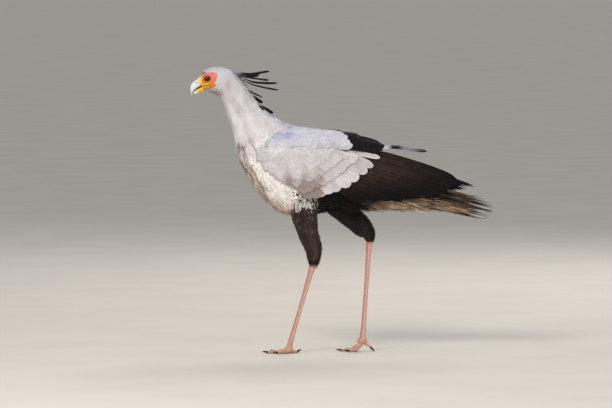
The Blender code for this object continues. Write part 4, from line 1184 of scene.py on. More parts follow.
def wingTier(title, sign):
    tier = wingTiers[title]
    surface = wingSurface(sign)
    count = tier["count"]
    place = np.linspace(0, 1, count)
    ends = np.array(tier["roots"]), np.array(tier["tips"])
    root, tip = [splineRows(row, place * (len(row) - 1)) for row in ends]
    tip += dice.normal(0, 1, tip.shape) * (0.0030, 0.0014)
    shares, widths = vaneShapes[tier["shape"]]
    x = root[:, :1] + (tip - root)[:, :1] * shares
    rootAngle, tipAngle = wingAngle(root[:, 0], root[:, 1]), wingAngle(tip[:, 0], tip[:, 1])
    zs = root[:, 1:] + (tip - root)[:, 1:] * shares + tier["bow"] * 4 * shares * (1 - shares)
    angle = wingAngle(x, zs)
    # near the back, a feather goes straight from root to tip round the sheet
    steep = smooth(0.9, 1.2, angle)
    straight = rootAngle[:, None] + (tipAngle - rootAngle)[:, None] * shares
    angle = between(angle, straight, steep)
    out = tier["rootOut"] + (tier["out"] - tier["rootOut"]) * shares ** 0.8
    out = out[None] + dice.uniform(-0.0002, 0.0002, (count, 1)) + 0.0009 * (1 - place[:, None]) * shares
    spine = surface(x, angle, out)
    normal = surfaceFrame(surface, x, angle)[3]
    tint = wingTint(tier["tint"], spine, shares, count)
    half = np.interp(place, (0, 0.3), tier["half"])[:, None] * widths * dice.uniform(0.94, 1.06, (count, 1))
    bake = wingBake(root[:, 0], root[:, 1], sign)
    return vanes(spine, normal, half, shares, tint, bake, (-1, -0.55, -0.06, 0, 0.06, 0.55, 1),
                 cup=0.07, lean=tier["lean"] * sign, thick=0.0003, ridge=0.0004, rough=0.04)


def wingBake(x, z, sign):
    area = (0.02, 0.64, 0.48, 0.98) if sign < 0 else (0.52, 0.64, 0.98, 0.98)
    return bakePlace((x + 0.26) / 0.4, (z - 0.42) / 0.28, area)


def wingTint(kind, spine, shares, count):
    x, z = spine[..., 0] - shiftX, spine[..., 2]
    if kind == "black":
        tint = np.broadcast_to(colours["black"], (count, len(shares), 3))
        tint = tint * dice.uniform(0.7, 1.3, (count, 1, 1))
        return tint * (1 + 0.5 * smooth(0.5, 1.0, shares)[None, :, None])
    if kind in ("covert", "greater"):
        blotch = clump(spine, 0.014, 4.0)
        low = smooth(0.580, 0.505, z) * smooth(0.03, -0.06, x)
        tint = layTints(
            colours["covert"],
            ("warmCovert", np.clip(low * (0.62 + 0.50 * blotch) + 0.10 * blotch, 0, 0.9)),
            ("mantle", smooth(0.60, 0.65, z)),
        )
        blue = spot(x + 0.166, 0.030, z - 0.652, 0.010)[..., None]
        tint = tint * (1 - blue * np.array((0.24, 0.22, 0.08)))
        tint = layTints(tint, ("armWhite", 0.6 * spot(x + 0.195, 0.028, z - 0.614, 0.012)))
        tint = tint * (1 - 0.55 * spot(x + 0.2226, 0.0045, z - 0.621, 0.0045)[..., None])
        pink = spot(x + 0.067, 0.008, z - 0.633, 0.004) + spot(x + 0.026, 0.010, z - 0.636, 0.005)
        tint = tint * (1 - pink[..., None] * np.array((0.16, 0.26, 0.22)))
        shadeAtRoot = (0.80 + 0.20 * smooth(0.15, 0.80, shares))[None, :, None]
        tint = tint * dice.uniform(0.92, 1.05, (count, 1, 1)) * shadeAtRoot
        if kind == "greater":
            tint = tint * (1 - 0.12 * smooth(0.12, 0.02, x) * blotch)[..., None]
        return tint
    base = colours["wingBrown"] if kind == "quill" else colours["brownBlack"]
    tint = layTints(base, ("black", smooth(0.35, 0.95, shares)))
    tint = tint * (1 - 0.45 * smooth(0.56, 0.48, z)[..., None])
    return tint * dice.uniform(0.8, 1.2, (count, 1, 1))


def lesserCoverts(sign):
    # small coverts over the wing's arm, and above them the broader shoulder feathers that overlap them
    surface = wingSurface(sign)
    u, v = rowsOfRoots(surface, -0.252, 0.016, lesserSettings["along"], lesserSettings["round"], 2.51, -1.0)
    roots = surface(u, v)
    x, z = roots[:, 0] - shiftX, roots[:, 2]
    line = np.interp(x, *np.array(lesserSettings["line"]).T)
    over = smooth(0.0, 0.006, z - line)
    upper = np.interp(x, (-0.255, -0.240, -0.215, -0.170, -0.120, -0.050, 0.020),
                      (0.600, 0.625, 0.650, 0.678, 0.673, 0.666, 0.660))
    lower = np.interp(x, armTable[:, 0], armTable[:, 2]) + 0.006
    armBack = np.interp(z, (0.49, 0.55, 0.60, 0.62, 0.64, 0.66),
                        (-0.135, -0.085, -0.050, -0.030, 0.000, 0.004))
    shoulderBack = np.interp(z, (0.604, 0.618, 0.630, 0.641, 0.652, 0.664),
                             (0.004, 0.002, -0.014, -0.006, -0.028, -0.044))
    keep = (z < upper) & (z > lower) & (x < np.where(over > 0.5, shoulderBack, armBack))
    u, v, x, z, over = u[keep], v[keep], x[keep], z[keep], over[keep]
    count = len(u)
    fore = smooth(-0.17, -0.245, x)
    length = lesserSettings["length"] * (1 - 0.4 * fore + 0.40 * over) * dice.uniform(0.85, 1.15, count)
    half = lesserSettings["half"] * (1 - 0.30 * fore + 0.35 * over) * dice.uniform(0.85, 1.15, count)
    shares, widths = vaneShapes["lesser"]
    slope = np.interp(x, (-0.25, -0.15, -0.02), (0.55, 0.28, 0.12))
    slope = slope * np.interp(z, (0.50, 0.60, 0.68), (1.0, 0.8, 0.1))
    slope = between(slope, 0.10 + 0.10 * smooth(0.66, 0.62, z), over)
    turn = -sign * slope + dice.normal(0, 0.07, count) + 0.10 * clump(roots[keep], 0.02, 5.0)
    ridge = smooth(0.648, 0.672, z)      # flatter towards the back
    shoulder = lesserSettings["shoulder"] * over * smooth(-0.225, -0.150, x) * (1 - ridge)
    lift = lesserSettings["lift"] * dice.uniform(0.75, 1.1, count) * (1 - 0.6 * ridge) + shoulder
    lift += 0.0007 * clump(roots[keep], 0.012, 6.0)
    rootOut, tipOut = 0.0006 + 0.8 * shoulder - 0.003 * ridge, lift - 0.002 * ridge
    spine, normal = layOnSurface(surface, u, v, length, turn, shares, rootOut, tipOut, 0.8)
    tint = wingTint("covert", spine, shares, count)
    # shade under the shoulder's edge
    below = bell(z - line[keep] + 0.0015, 0.0020) * smooth(-0.20, -0.15, x)
    tint = tint * (1 - 0.35 * below)[:, None, None]
    return vanes(spine, normal, half[:, None] * widths, shares, tint, wingBake(x, z, sign),
                 (-1, -0.5, 0, 0.5, 1), cup=0.16, lean=0.04 * sign, rough=0.08)


for side, sign in sides.items():
    capital = side.capitalize()
    coverts = [wingTier(title, sign) for title in ("greater", "median", "medianUpper", "marginal")]
    featherPiece("wingCoverts" + capital, coverts + [lesserCoverts(sign)], covertFeathers)
    quills = [wingTier(title, sign) for title in ("primaries", "secondaries", "tertials", "scapulars")]
    featherPiece("wingQuills" + capital, quills, darkFeathers)


# Free feathers: crest, tail and the like

def freeFeathers(paths, half, shapeName, roll, tint, bake, cup=0.06, thick=0.00025, ridge=0.0004,
                 rough=0.05, flat=False, across=(-1, -0.5, -0.08, 0, 0.08, 0.5, 1)):
    # paths (feathers, points, x z y) are smoothed. Roll turns each about its length, in degrees.
    paths = np.asarray(paths, float)
    shares, widths = vaneShapes[shapeName]
    places = shares * (paths.shape[1] - 1)
    line = np.stack([splineRows(path, places) for path in paths])
    spine = np.stack([line[..., 0] + shiftX, line[..., 2], line[..., 1]], -1)
    tangent = unit(np.gradient(spine, axis=1))
    sign = np.where(spine[:, :1, 1:2] < 0, -1.0, 1.0)
    angle = np.radians(np.broadcast_to(roll, (len(paths),)))[:, None, None]
    flatWay = np.concatenate([0 * tangent[..., :1], sign * np.cos(angle) + 0 * tangent[..., :1],
                              -np.sin(angle) + 0 * tangent[..., :1]], -1)
    normal = unit(np.cross(flatWay, tangent)) * -sign
    half = np.broadcast_to(half, (len(paths),))[:, None] * widths
    return vanes(spine, normal, half, shares, tint, bake, across, cup, 0.0, thick, ridge, rough, flat)


# paths of the plumes (x, z, y), with half width, and how much each is turned to the side
crestSettings = dict(ends=150, endLength=(0.010, 0.024), endHalf=0.0009, paleRow=9)
crestRows = (
    (((-0.338, 0.837, 0.004), (-0.306, 0.8405, 0.005), (-0.267, 0.8390, 0.006), (-0.2148, 0.8454, 0.009)),
     0.0046, 40),
    (((-0.336, 0.832, 0.010), (-0.303, 0.8335, 0.014), (-0.280, 0.8290, 0.017), (-0.243, 0.8358, 0.021)),
     0.0046, 46),
    (((-0.334, 0.834, 0.007), (-0.303, 0.8360, 0.009), (-0.275, 0.8345, 0.011), (-0.250, 0.8360, 0.013)),
     0.0042, 50),
    (((-0.332, 0.829, 0.008), (-0.303, 0.8310, 0.010), (-0.270, 0.8265, 0.012), (-0.2168, 0.8208, 0.017)),
     0.0042, 36),
    (((-0.326, 0.828, 0.004), (-0.300, 0.8265, 0.005), (-0.258, 0.8115, 0.007), (-0.1905, 0.8088, 0.010)),
     0.0046, 34),
    (((-0.322, 0.822, 0.010), (-0.2955, 0.819, 0.012), (-0.258, 0.8032, 0.015), (-0.1868, 0.7882, 0.020)),
     0.0042, 36),
    (((-0.300, 0.792, 0.014), (-0.279, 0.7880, 0.017), (-0.258, 0.7790, 0.020), (-0.2355, 0.7680, 0.024)),
     0.0036, 34),
    (((-0.296, 0.787, 0.006), (-0.276, 0.7780, 0.008), (-0.258, 0.7665, 0.010), (-0.2345, 0.7525, 0.013)),
     0.0066, 58),
    (((-0.280, 0.766, 0.007), (-0.258, 0.7545, 0.009), (-0.228, 0.7355, 0.012), (-0.2055, 0.7180, 0.016)),
     0.0052, 56),
    (((-0.272, 0.755, 0.010), (-0.255, 0.7400, 0.012), (-0.2355, 0.7215, 0.014), (-0.2055, 0.7047, 0.018)),
     0.0060, 60),
    (((-0.290, 0.779, 0.012), (-0.270, 0.7640, 0.015), (-0.250, 0.7480, 0.018), (-0.226, 0.7290, 0.022)),
     0.0044, 50),
)


def buildCrest():
    paths, halves, rolls, greys = [], [], [], []
    for sign in sides.values():
        for n, (path, half, roll) in enumerate(crestRows):
            path = np.array([(x, z, sign * y) for x, z, y in path])
            path[2:] += dice.normal(0, 0.0009, 3)
            path[3] += dice.normal(0, 1, 3) * (0.0022, 0.0012, 0.0015)
            paths.append(path)
            halves.append(half * dice.uniform(0.92, 1.08))
            rolls.append(roll + dice.uniform(-6, 6))
            greys.append(n == crestSettings["paleRow"])
    count = len(paths)
    shares = vaneShapes["plume"][0]
    pale = (1 - smooth(0.16, 0.42, shares))[None, :, None, None]
    tint = between(colours["black"], colours["mantle"] * 0.40, pale)
    tint = np.broadcast_to(tint, (count, len(shares), 12, 3)) * dice.uniform(0.7, 1.3, (count, 1, 1, 1))
    middle = np.abs(np.array((-1, -0.5, -0.08, 0, 0.08, 0.5, 1, 0.5, 0.08, 0, -0.08, -0.5))) < 0.6
    # one tuft is pale with dark edges
    edged = np.array(greys)[:, None, None, None] * middle[None, None, :, None]
    tint = np.where(edged, colours["nape"] * 0.8, tint)
    bake = bakePlace(np.linspace(0.2, 0.9, count), np.full(count, 0.5), (0.02, 0.605, 0.98, 0.635))
    plumes = freeFeathers(paths, halves, "plume", rolls, tint, bake, rough=0.18)
    # short loose ends round the plumes' roots
    number = crestSettings["ends"]
    place, angle = dice.uniform(4.0, 8.6, number), dice.normal(0, 0.50, number)
    base, ways = looseWays(bodySurface, place, angle, 0.10, 0.42, 0.10)
    tints = colours["mantle"] * dice.uniform(0.10, 0.75, (number, 1))
    lengths = dice.uniform(*crestSettings["endLength"], number)
    curl = dice.normal(0, 0.03, (number, 3))
    ends = looseStrands(base, ways, lengths, crestSettings["endHalf"], curl, tints, bodyBake(place, angle))
    featherPiece("crest", [plumes, ends], darkFeathers)


def looseWays(surface, place, angle, low, high, spread):
    # sunk roots on a surface, and ways that follow it and stand out of it unevenly
    base, alongU, _, out = surfaceFrame(surface, place, angle)
    rise = out * dice.uniform(low, high, (len(base), 1))
    return base - out * 0.001, unit(unit(alongU) + rise + dice.normal(0, spread, (len(base), 3)))


def looseStrands(roots, ways, lengths, half, curl, tint, bake):
    # soft strands from roots (x y z) along ways, bent by curl
    ends = roots + ways * lengths[:, None]
    middle = (roots + ends) / 2 + curl * lengths[:, None]
    path = np.stack([roots, middle, ends], 1)
    path = np.stack([path[..., 0] - shiftX, path[..., 2], path[..., 1]], -1)
    return freeFeathers(path, half, "strand", dice.uniform(-30, 80, len(roots)), tint, bake, ridge=0,
                        thick=0.00015, rough=0.1, flat=True, across=(-1, 0, 1))


# tail feathers: root and tip (x, z), y at root and tip, roll, half width
tailRows = (
    ((0.175, 0.515), (0.396, 0.472), 0.008, 0.010, 30, 0.0105),
    ((0.176, 0.510), (0.421, 0.459), 0.010, 0.013, 44, 0.0115),
    ((0.178, 0.503), (0.404, 0.455), 0.010, 0.016, 52, 0.0110),
    ((0.180, 0.496), (0.436, 0.443), 0.010, 0.018, 56, 0.0115),
    ((0.182, 0.488), (0.4505, 0.425), 0.009, 0.021, 60, 0.0110),
    ((0.184, 0.478), (0.392, 0.436), 0.009, 0.022, 60, 0.0120),
    ((0.186, 0.470), (0.429, 0.415), 0.008, 0.026, 64, 0.0100),
    ((0.187, 0.462), (0.374, 0.421), 0.008, 0.027, 66, 0.0115),
    ((0.187, 0.458), (0.406, 0.408), 0.008, 0.029, 66, 0.0095),
)
tailSettings = dict(strands=26, strandLength=(0.022, 0.058), strandHalf=0.0007, reach=0.456, lowest=0.403)


def buildTail():
    paths, halves, rolls = [], [], []
    for sign in sides.values():
        for root, tip, rootY, tipY, roll, half in tailRows:
            end = (tip[0] + dice.uniform(-0.010, 0.001), tip[1] + dice.uniform(-0.003, 0.003))
            bend = ((root[0] + end[0]) / 2, (root[1] + end[1]) / 2 + 0.004)
            middleY = (rootY + tipY) / 2
            paths.append(((*root, sign * rootY), (*bend, sign * middleY), (*end, sign * tipY)))
            halves.append(half)
            rolls.append(roll + dice.uniform(-5, 5))
    paths, halves, rolls = np.array(paths), np.array(halves), np.array(rolls)
    count = len(paths)
    shares, widths = vaneShapes["frayed"]
    brown = smooth(0.30, 0.70, shares)[None, :, None]
    kinds = dice.choice((0.22, 0.80, 1.6), count, p=(0.38, 0.30, 0.32))[:, None, None]
    tint = between(colours["brownBlack"], colours["tailBrown"] * kinds, brown)
    dusky = 1 - 0.55 * smooth(0.66, 0.86, shares)[None, :, None] * (kinds > 0.5)
    tint = tint * dusky * dice.uniform(0.8, 1.2, (count, len(shares), 1))
    bake = bakePlace(np.linspace(0.1, 0.9, count), np.full(count, 0.5), (0.90, 0.02, 0.97, 0.60))
    batches = [freeFeathers(paths, halves, "frayed", rolls, tint, bake, rough=0.45, cup=0.10)]
    # loose barbs that fray the ends and edges
    strands, tints = [], []
    for path, half, roll, kind in zip(paths, halves, rolls, kinds[:, 0, 0]):
        for _ in range(tailSettings["strands"]):
            at = dice.uniform(0.42, 0.97)
            here = splineRows(path, np.array(at * 2))
            way = splineRows(path, np.array(at * 2 + 0.05)) - splineRows(path, np.array(at * 2 - 0.05))
            way = unit(way)
            edge = dice.choice((-1, 1)) * half * float(np.interp(at, shares, widths)) * dice.uniform(0.3, 1.0)
            start = here + np.array((0, -math.sin(math.radians(roll)), math.cos(math.radians(roll)))) * edge
            room = max(0.004, (tailSettings["reach"] - start[0]) / way[0])
            long = min(dice.uniform(*tailSettings["strandLength"]), room)
            aside = np.array((0, dice.normal(0, 0.12) + 0.10 * np.sign(edge), dice.normal(0, 0.06)))
            middle = start + (way + aside * 0.4) * long * 0.5
            end = start + (way + aside) * long
            end[1] = max(end[1], tailSettings["lowest"])
            strands.append((start, middle, end))
            tints.append((kind * dice.uniform(0.6, 1.5) + 0.06) * (0.55 if at > 0.78 else 1.0))
    strands = np.array(strands)
    barbTint = colours["tailBrown"] * np.array(tints)[:, None]
    bakeStrands = np.repeat(bake, tailSettings["strands"], axis=0)
    batches.append(freeFeathers(strands, tailSettings["strandHalf"], "strand", 20, barbTint, bakeStrands,
                                ridge=0, thick=0.0002, flat=True, across=(-1, 0, 1)))
    featherPiece("tailFeathers", batches, darkFeathers)


centralPair = dict(
    path=((0.090, 0.588, 0.006), (0.120, 0.6135, 0.0065), (0.160, 0.6185, 0.007),
          (0.210, 0.6110, 0.008), (0.257, 0.6055, 0.009)),
    half=0.0080, roll=40, band=(0.35, 0.42, 0.57, 0.66),
)


def buildCentralPair():
    # the two long grey feathers over the tail, with a dark band and a dusky tip
    paths = [[(x, z, sign * y) for x, z, y in centralPair["path"]] for sign in sides.values()]
    shares = vaneShapes["long"][0]
    before, start, end, after = centralPair["band"]
    tint = layTints(
        colours["pairGrey"],
        ("pairDusk", smooth(0.55, 0.66, shares)),
        ("black", smooth(before, start, shares) * smooth(after, end, shares)),
        ("pairTip", smooth(0.78, 0.90, shares)),
    )
    tint = np.broadcast_to(tint, (2, len(shares), 3))
    bake = np.array(((0.96, 0.30), (0.96, 0.36)))
    pair = freeFeathers(paths, centralPair["half"], "long", centralPair["roll"], tint, bake, rough=0.06)
    featherPiece("centralPair", [pair], covertFeathers)


buildCrest()
buildTail()
buildCentralPair()


# Loose and fluffy feathers: undertail, belly, thighs

undertailSettings = dict(
    count=2600, length=(0.030, 0.062), half=0.0011, lowest=0.418, widest=0.030, broadHalf=0.0120,
    broad=((0.114, 0.462, 0.204, 0.436, 0.020), (0.130, 0.462, 0.236, 0.434, 0.012),
           (0.160, 0.460, 0.272, 0.436, 0.013), (0.190, 0.460, 0.302, 0.440, 0.010)),
)


def buildUndertail():
    count = undertailSettings["count"]
    place = dice.uniform(17.0, 20.9, count)
    place = np.where(dice.random(count) < 0.25, dice.uniform(16.2, 18.0, count), place)
    angle = math.pi + dice.uniform(-1.0, 1.0, count) * np.interp(place, (16, 18, 20), (0.7, 0.9, 1.35))
    roots = bodySurface(place, angle, -0.002)
    normal = surfaceFrame(bodySurface, place, angle)[3] * np.array((1, 0.30, 1))
    down = normal * dice.uniform(0.10, 0.42, (count, 1))
    ways = unit(np.array((1.0, 0, -0.14)) + down + dice.normal(0, 1, (count, 3)) * (0.10, 0.06, 0.10))
    lengths = dice.uniform(*undertailSettings["length"], count)
    lengths *= 1 + 0.25 * smooth(19, 21, place)
    ends = roots + ways * lengths[:, None]
    ends[:, 2] = np.maximum(ends[:, 2], undertailSettings["lowest"] + dice.uniform(0, 0.008, count))
    ends[:, 1] = np.clip(ends[:, 1], -undertailSettings["widest"], undertailSettings["widest"])
    ways = unit(ends - roots)
    x = roots[:, 0] - shiftX
    start = smooth(0.10, 0.04, x + dice.normal(0, 0.015, count))[:, None]
    dirty = dice.uniform(0.45, 1.35, (count, 1))
    pale = dice.random((count, 1)) < 0.30
    tint = np.where(pale, colours["undertailPale"], colours["undertailBuff"]) * dirty
    tint = between(tint, colours["brownBlack"], start)
    curl = np.stack([np.zeros(count), dice.normal(0, 0.03, count), dice.normal(-0.03, 0.04, count)], -1)
    bake = bodyBake(place, angle)
    strands = looseStrands(roots, ways, lengths, undertailSettings["half"], curl, tint, bake)
    # broad soft coverts under the strands
    rows = []
    for sign in sides.values():
        for rootX, rootZ, tipX, tipZ, y in undertailSettings["broad"]:
            middleX, middleZ = (rootX + tipX) / 2, (rootZ + tipZ) / 2 - 0.004
            rows.append([(x, z, sign * y) for x, z in ((rootX, rootZ), (middleX, middleZ), (tipX, tipZ))])
    tints = np.broadcast_to(colours["undertailBroad"], (len(rows), 3))
    bakeRows = np.broadcast_to(np.array((0.85, 0.3)), (len(rows), 2))
    broad = freeFeathers(rows, undertailSettings["broadHalf"], "frayed", 74, tints, bakeRows, rough=0.3)
    featherPiece("undertail", [strands, broad], looseFeathers)


# light makes each thigh's dark coat lighter: the near (left) thigh is painted as lit and the far one as
# shaded
thighSettings = dict(
    along=0.0048, round=0.0040, length=0.0185, half=0.0028, lift=0.0022, light=dict(left=2.7, right=1.0),
    hem=420, hemLength=(0.010, 0.022), hemHalf=0.0009,
)


def buildThigh(side, sign):
    surface = thighSurface(side)
    last = len(thighTables[side]) - 1
    u, v = rowsOfRoots(surface, 0.6, last - 0.18, thighSettings["along"], thighSettings["round"])
    count = len(u)
    roots = surface(u, v)
    shares, widths = vaneShapes["small"]
    lower = smooth(last - 1.6, last, u)
    length = thighSettings["length"] * (1 - 0.35 * lower) * dice.uniform(0.8, 1.25, count)
    lift = thighSettings["lift"] * dice.uniform(0.3, 1.4, count) + 0.0010 * clump(roots, 0.010, 3.0)
    turn = dice.normal(0, 0.14, count) + 0.2 * clump(roots, 0.014)
    spine, normal = layOnSurface(surface, u, v, length, turn, shares, -0.0020, lift, 1.1)
    x, z = spine[:, 2, 0] - shiftX, spine[:, 2, 2]
    uneven = (1 + 0.4 * clump(roots, 0.012, 2.0))[:, None]
    # the near thigh's coat is painted lighter than the far one's: painted light
    tint = colours["brownBlack"] * thighSettings["light"][side] * dice.uniform(0.5, 1.4, (count, 1)) * uneven
    if side == "left":
        white = 0.90 * smooth(0.432, 0.456, z) * smooth(-0.055, -0.110, x + dice.normal(0, 0.008, count))
        pale = dice.random(count) < white
        tint = np.where(pale[:, None], colours["belly"] * dice.uniform(0.35, 0.95, (count, 1)), tint)
        grey = (dice.random(count) < 0.22 * smooth(0.405, 0.430, z)) & ~pale
        tint = np.where(grey[:, None], colours["thighGrey"] * dice.uniform(0.4, 1.0, (count, 1)), tint)
    area = (0.02, 0.30, 0.40, 0.60) if sign < 0 else (0.42, 0.30, 0.80, 0.60)
    bake = bakePlace(u / last, v / (2 * math.pi), area)
    half = thighSettings["half"] * widths * np.ones((count, 1))
    coat = vanes(spine, normal, half, shares, tint, bake, **smallVane)
    # a loose hem over the ankle and some ruffled ends along the back
    number = thighSettings["hem"]
    atAnkle = dice.random(number) < 0.5
    hemPlace = dice.uniform(last - 0.9, last - 0.1, number)
    place = np.where(atAnkle, hemPlace, dice.uniform(1.5, last - 0.3, number))
    angle = dice.uniform(0, 2 * math.pi, number)
    base, ways = looseWays(surface, place, angle, 0.08, 0.35, 0.08)
    lengths = dice.uniform(*thighSettings["hemLength"], number)
    tints = colours["brownBlack"] * dice.uniform(0.6, 1.6, (number, 1))
    curl = dice.normal(0, 0.04, (number, 3))
    bakeHem = bakePlace(place / last, angle / (2 * math.pi), area)
    hem = looseStrands(base, ways, lengths, thighSettings["hemHalf"], curl, tints, bakeHem)
    featherPiece("thighCoat" + side.capitalize(), [coat, hem], looseFeathers)


bellySettings = dict(count=3400, length=(0.016, 0.034), half=0.0012)


def buildBellyFluff():
    # loose ends on the belly and the breast's keel, and the short black ones behind the legs
    count = bellySettings["count"]
    place = dice.uniform(9.5, 16.8, count)
    angle = math.pi + dice.normal(0, 0.55, count)
    base, ways = looseWays(bodySurface, place, angle, 0.02, 0.26, 0.10)
    lengths = dice.uniform(*bellySettings["length"], count)
    tips = bodySurface(place, angle) + ways * lengths[:, None]
    tints = markings(tips) * dice.uniform(0.75, 1.1, (count, 1))
    edge = dice.random(count) < 0.10 * smooth(13.8, 12.0, place)
    tints[edge] = colours["speckle"]
    curl = dice.normal(0, 0.03, (count, 3))
    bake = bodyBake(place, angle)
    strands = looseStrands(base, ways, lengths, bellySettings["half"], curl, tints, bake)
    featherPiece("bellyFluff", [strands], looseFeathers)


chinSettings = dict(count=380, length=(0.004, 0.0095), half=0.00016)
lashSettings = dict(count=20, length=(0.0040, 0.0068), half=0.00020)


def buildBristles():
    # fine bristles under the chin, and the lashes along the upper lid
    count = chinSettings["count"]
    place = np.clip(dice.normal(2.2, 0.9, count), 0.25, 4.4)
    angle = math.pi + dice.normal(0, 0.42, count)
    base, alongU, _, out = surfaceFrame(bodySurface, place, angle)
    ways = unit(alongU) * 0.7 + out * dice.uniform(0.2, 0.7, (count, 1)) + np.array((0.1, 0, -0.35))
    ways = unit(ways + dice.normal(0, 0.12, (count, 3)))
    lengths = dice.uniform(*chinSettings["length"], count)
    dark = dice.random((count, 1)) < 0.45
    tints = np.where(dark, colours["speckle"] * 0.5, colours["cheek"])
    curl = dice.normal(0, 0.05, (count, 3))
    bristles = looseStrands(base, ways, lengths, chinSettings["half"], curl, tints, bodyBake(place, angle))
    roots, ways, lengths = [], [], []
    ring = int(np.argmin(np.abs(faceOff[:, 0] - 0.9)))
    for sign in sides.values():
        number = lashSettings["count"]
        for turn in np.linspace(0.35, 2.75, number) + dice.normal(0, 0.03, number):
            n = int(turn / (2 * math.pi) * faceSettings["around"])
            ahead, above, depth = faceAhead[ring, n], faceAbove[ring, n], faceSide[ring, n]
            roots.append(facePoint(ahead, sign * (depth - 0.1), above))
            ways.append((-math.cos(turn) * 0.6 + 0.15, sign * 0.9, 0.30 + 0.5 * math.sin(turn)))
            lengths.append(dice.uniform(*lashSettings["length"]) * (0.6 + 0.5 * math.sin(turn)))
    roots, ways, lengths = np.array(roots), unit(np.array(ways)), np.array(lengths)
    curl = np.array((0, 0, -0.14)) + dice.normal(0, 0.03, roots.shape)
    tints = np.broadcast_to(colours["lash"], roots.shape)
    bake = np.broadcast_to(np.array((0.06, 0.1)), (len(roots), 2))
    lashes = looseStrands(roots, ways, lengths, lashSettings["half"], curl, tints, bake)
    featherPiece("bristlesAndLashes", [bristles, lashes], looseFeathers)


buildUndertail()
for side, sign in sides.items():
    buildThigh(side, sign)
buildBellyFluff()
buildBristles()


# Legs, feet and claws

# Sizes: share of the tarsus, half depth, half width. Toes: length, turn in degrees, thick and thin end.
legSettings = dict(
    ankles=dict(left=(-0.0820, 0.2727, 0.038), right=(0.0865, 0.3417, 0.036)),
    joints=dict(left=(-0.1560, 0.0170, 0.033), right=(0.0660, 0.0400, 0.031)),
    sizes=np.array([(0.00, 0.0108, 0.0098), (0.07, 0.0098, 0.0085), (0.16, 0.0074, 0.0066),
                    (0.50, 0.0066, 0.0058), (0.86, 0.0070, 0.0064), (0.95, 0.0085, 0.0085),
                    (1.05, 0.0100, 0.0098)]),
    scute=0.0092, scuteStep=0.00095, toeScute=0.0050, toeStep=0.00110,
    toes=dict(middle=(0.064, 0, 0.0068, 0.0050), inner=(0.047, 34, 0.0062, 0.0046),
              outer=(0.046, -34, 0.0060, 0.0045), hind=(0.025, 165, 0.0054, 0.0042)),
    splay=6, lift=dict(left=0.0, right=0.023), flat=0.0010, clawHeight=0.0042,
    padPlace=(-0.002, 0, 0.0106), padSize=(0.0160, 0.0138, 0.0110),
)


def scutedTube(points, deep, wide, across, scute, step, around=32):
    # a limb along points: plates overlap down its front or top, and round scales show by the finish
    tangent = unit(np.gradient(points, axis=0))
    up = unit(np.cross(across, tangent))
    side = np.cross(tangent, up)
    reached = np.concatenate([[0], np.cumsum(np.linalg.norm(np.diff(points, axis=0), axis=1))])
    angles = np.linspace(0, 2 * math.pi, around, endpoint=False)
    c, s = np.cos(angles), np.sin(angles)
    part = np.mod(reached / scute, 1.0)
    plate = step * (0.30 + 0.70 * part) * (1 - bell(part, 0.10)) * (1 - bell(part - 1, 0.06))
    grow = plate[:, None] * smooth(0.05, 0.55, c)
    rings = points[:, None] + up[:, None] * ((deep[:, None] + grow) * c)[..., None]
    return rings + side[:, None] * ((wide[:, None] + grow) * s)[..., None]


def buildToe(title, sign, floor, lift):
    # one toe and its claw
    length, turn, thick, thin = legSettings["toes"][title]
    angle = math.radians(180 + sign * (turn - legSettings["splay"]))
    ahead = np.array((math.cos(angle), math.sin(angle), 0.0))
    across = np.cross(ahead, (0, 0, 1.0))
    share = np.linspace(0, 1, 110)
    radius = thick + (thin - thick) * share
    radius = radius * (1 + 0.09 * np.sin(share * math.pi * (6 if length > 0.06 else 4) + 1.2))
    radius = radius + (0.0036 - radius) * smooth(0.86, 1.0, share) ** 1.5
    rise = lift * np.maximum(0, 1 - share / 0.6) ** 1.4 + 0.003 * (1 - share) ** 3
    if title == "hind":
        rise = lift * (1 - 0.5 * share) + 0.003 * (1 - share)
    height = radius - legSettings["flat"] + rise
    height = np.maximum(height, legSettings["clawHeight"] * smooth(0.85, 1.0, share))
    points = floor + ahead * (length * share)[:, None] + np.array((0, 0, 1.0)) * height[:, None]
    scute, step = legSettings["toeScute"], legSettings["toeStep"]
    toe = gridSkin("toe", scutedTube(points, radius, radius * 0.96, across, scute, step, 28))
    along = unit(points[-1] - points[-4])
    up = unit(np.cross(across, along))
    up = up if up[2] > 0 else -up
    reach = np.linspace(-0.003, 0.0175, 26)
    curve = np.interp(reach, (-0.003, 0.004, 0.009, 0.014, 0.0175), (0, 0.0002, -0.0001, -0.0010, -0.0023))
    width = np.interp(reach, (-0.003, 0.0, 0.006, 0.012, 0.0165, 0.0175),
                      (0.0030, 0.0034, 0.0032, 0.0023, 0.0009, 0.0003))
    line = points[-1] + along * reach[:, None] + up * curve[:, None]
    return toe, gridSkin("claw", scutedTube(line, width, width * 0.80, across, 1.0, 0.0, 20))


def smoothFoot(leg, floor, lift):
    # the toes' roots flow into the foot, and the soles are cut flat at the floor
    points = meshPoints(leg)
    apart = np.hypot(points[:, 0] - floor[0], points[:, 1] - floor[1])
    soften = (apart < 0.024) & (points[:, 2] > 0.0025) & (points[:, 2] < lift + 0.032)
    leg.data.vertices.foreach_set("select", soften)
    bpy.ops.object.mode_set(mode="EDIT")
    bpy.ops.mesh.select_mode(type="VERT")
    bpy.ops.mesh.vertices_smooth(factor=0.5, repeat=10)
    bpy.ops.mesh.select_all(action="SELECT")
    bpy.ops.mesh.bisect(plane_co=(0, 0, 0), plane_no=(0, 0, 1), clear_inner=True, use_fill=True,
                        threshold=1e-6)
    bpy.ops.mesh.normals_make_consistent(inside=False)
    bpy.ops.object.mode_set(mode="OBJECT")


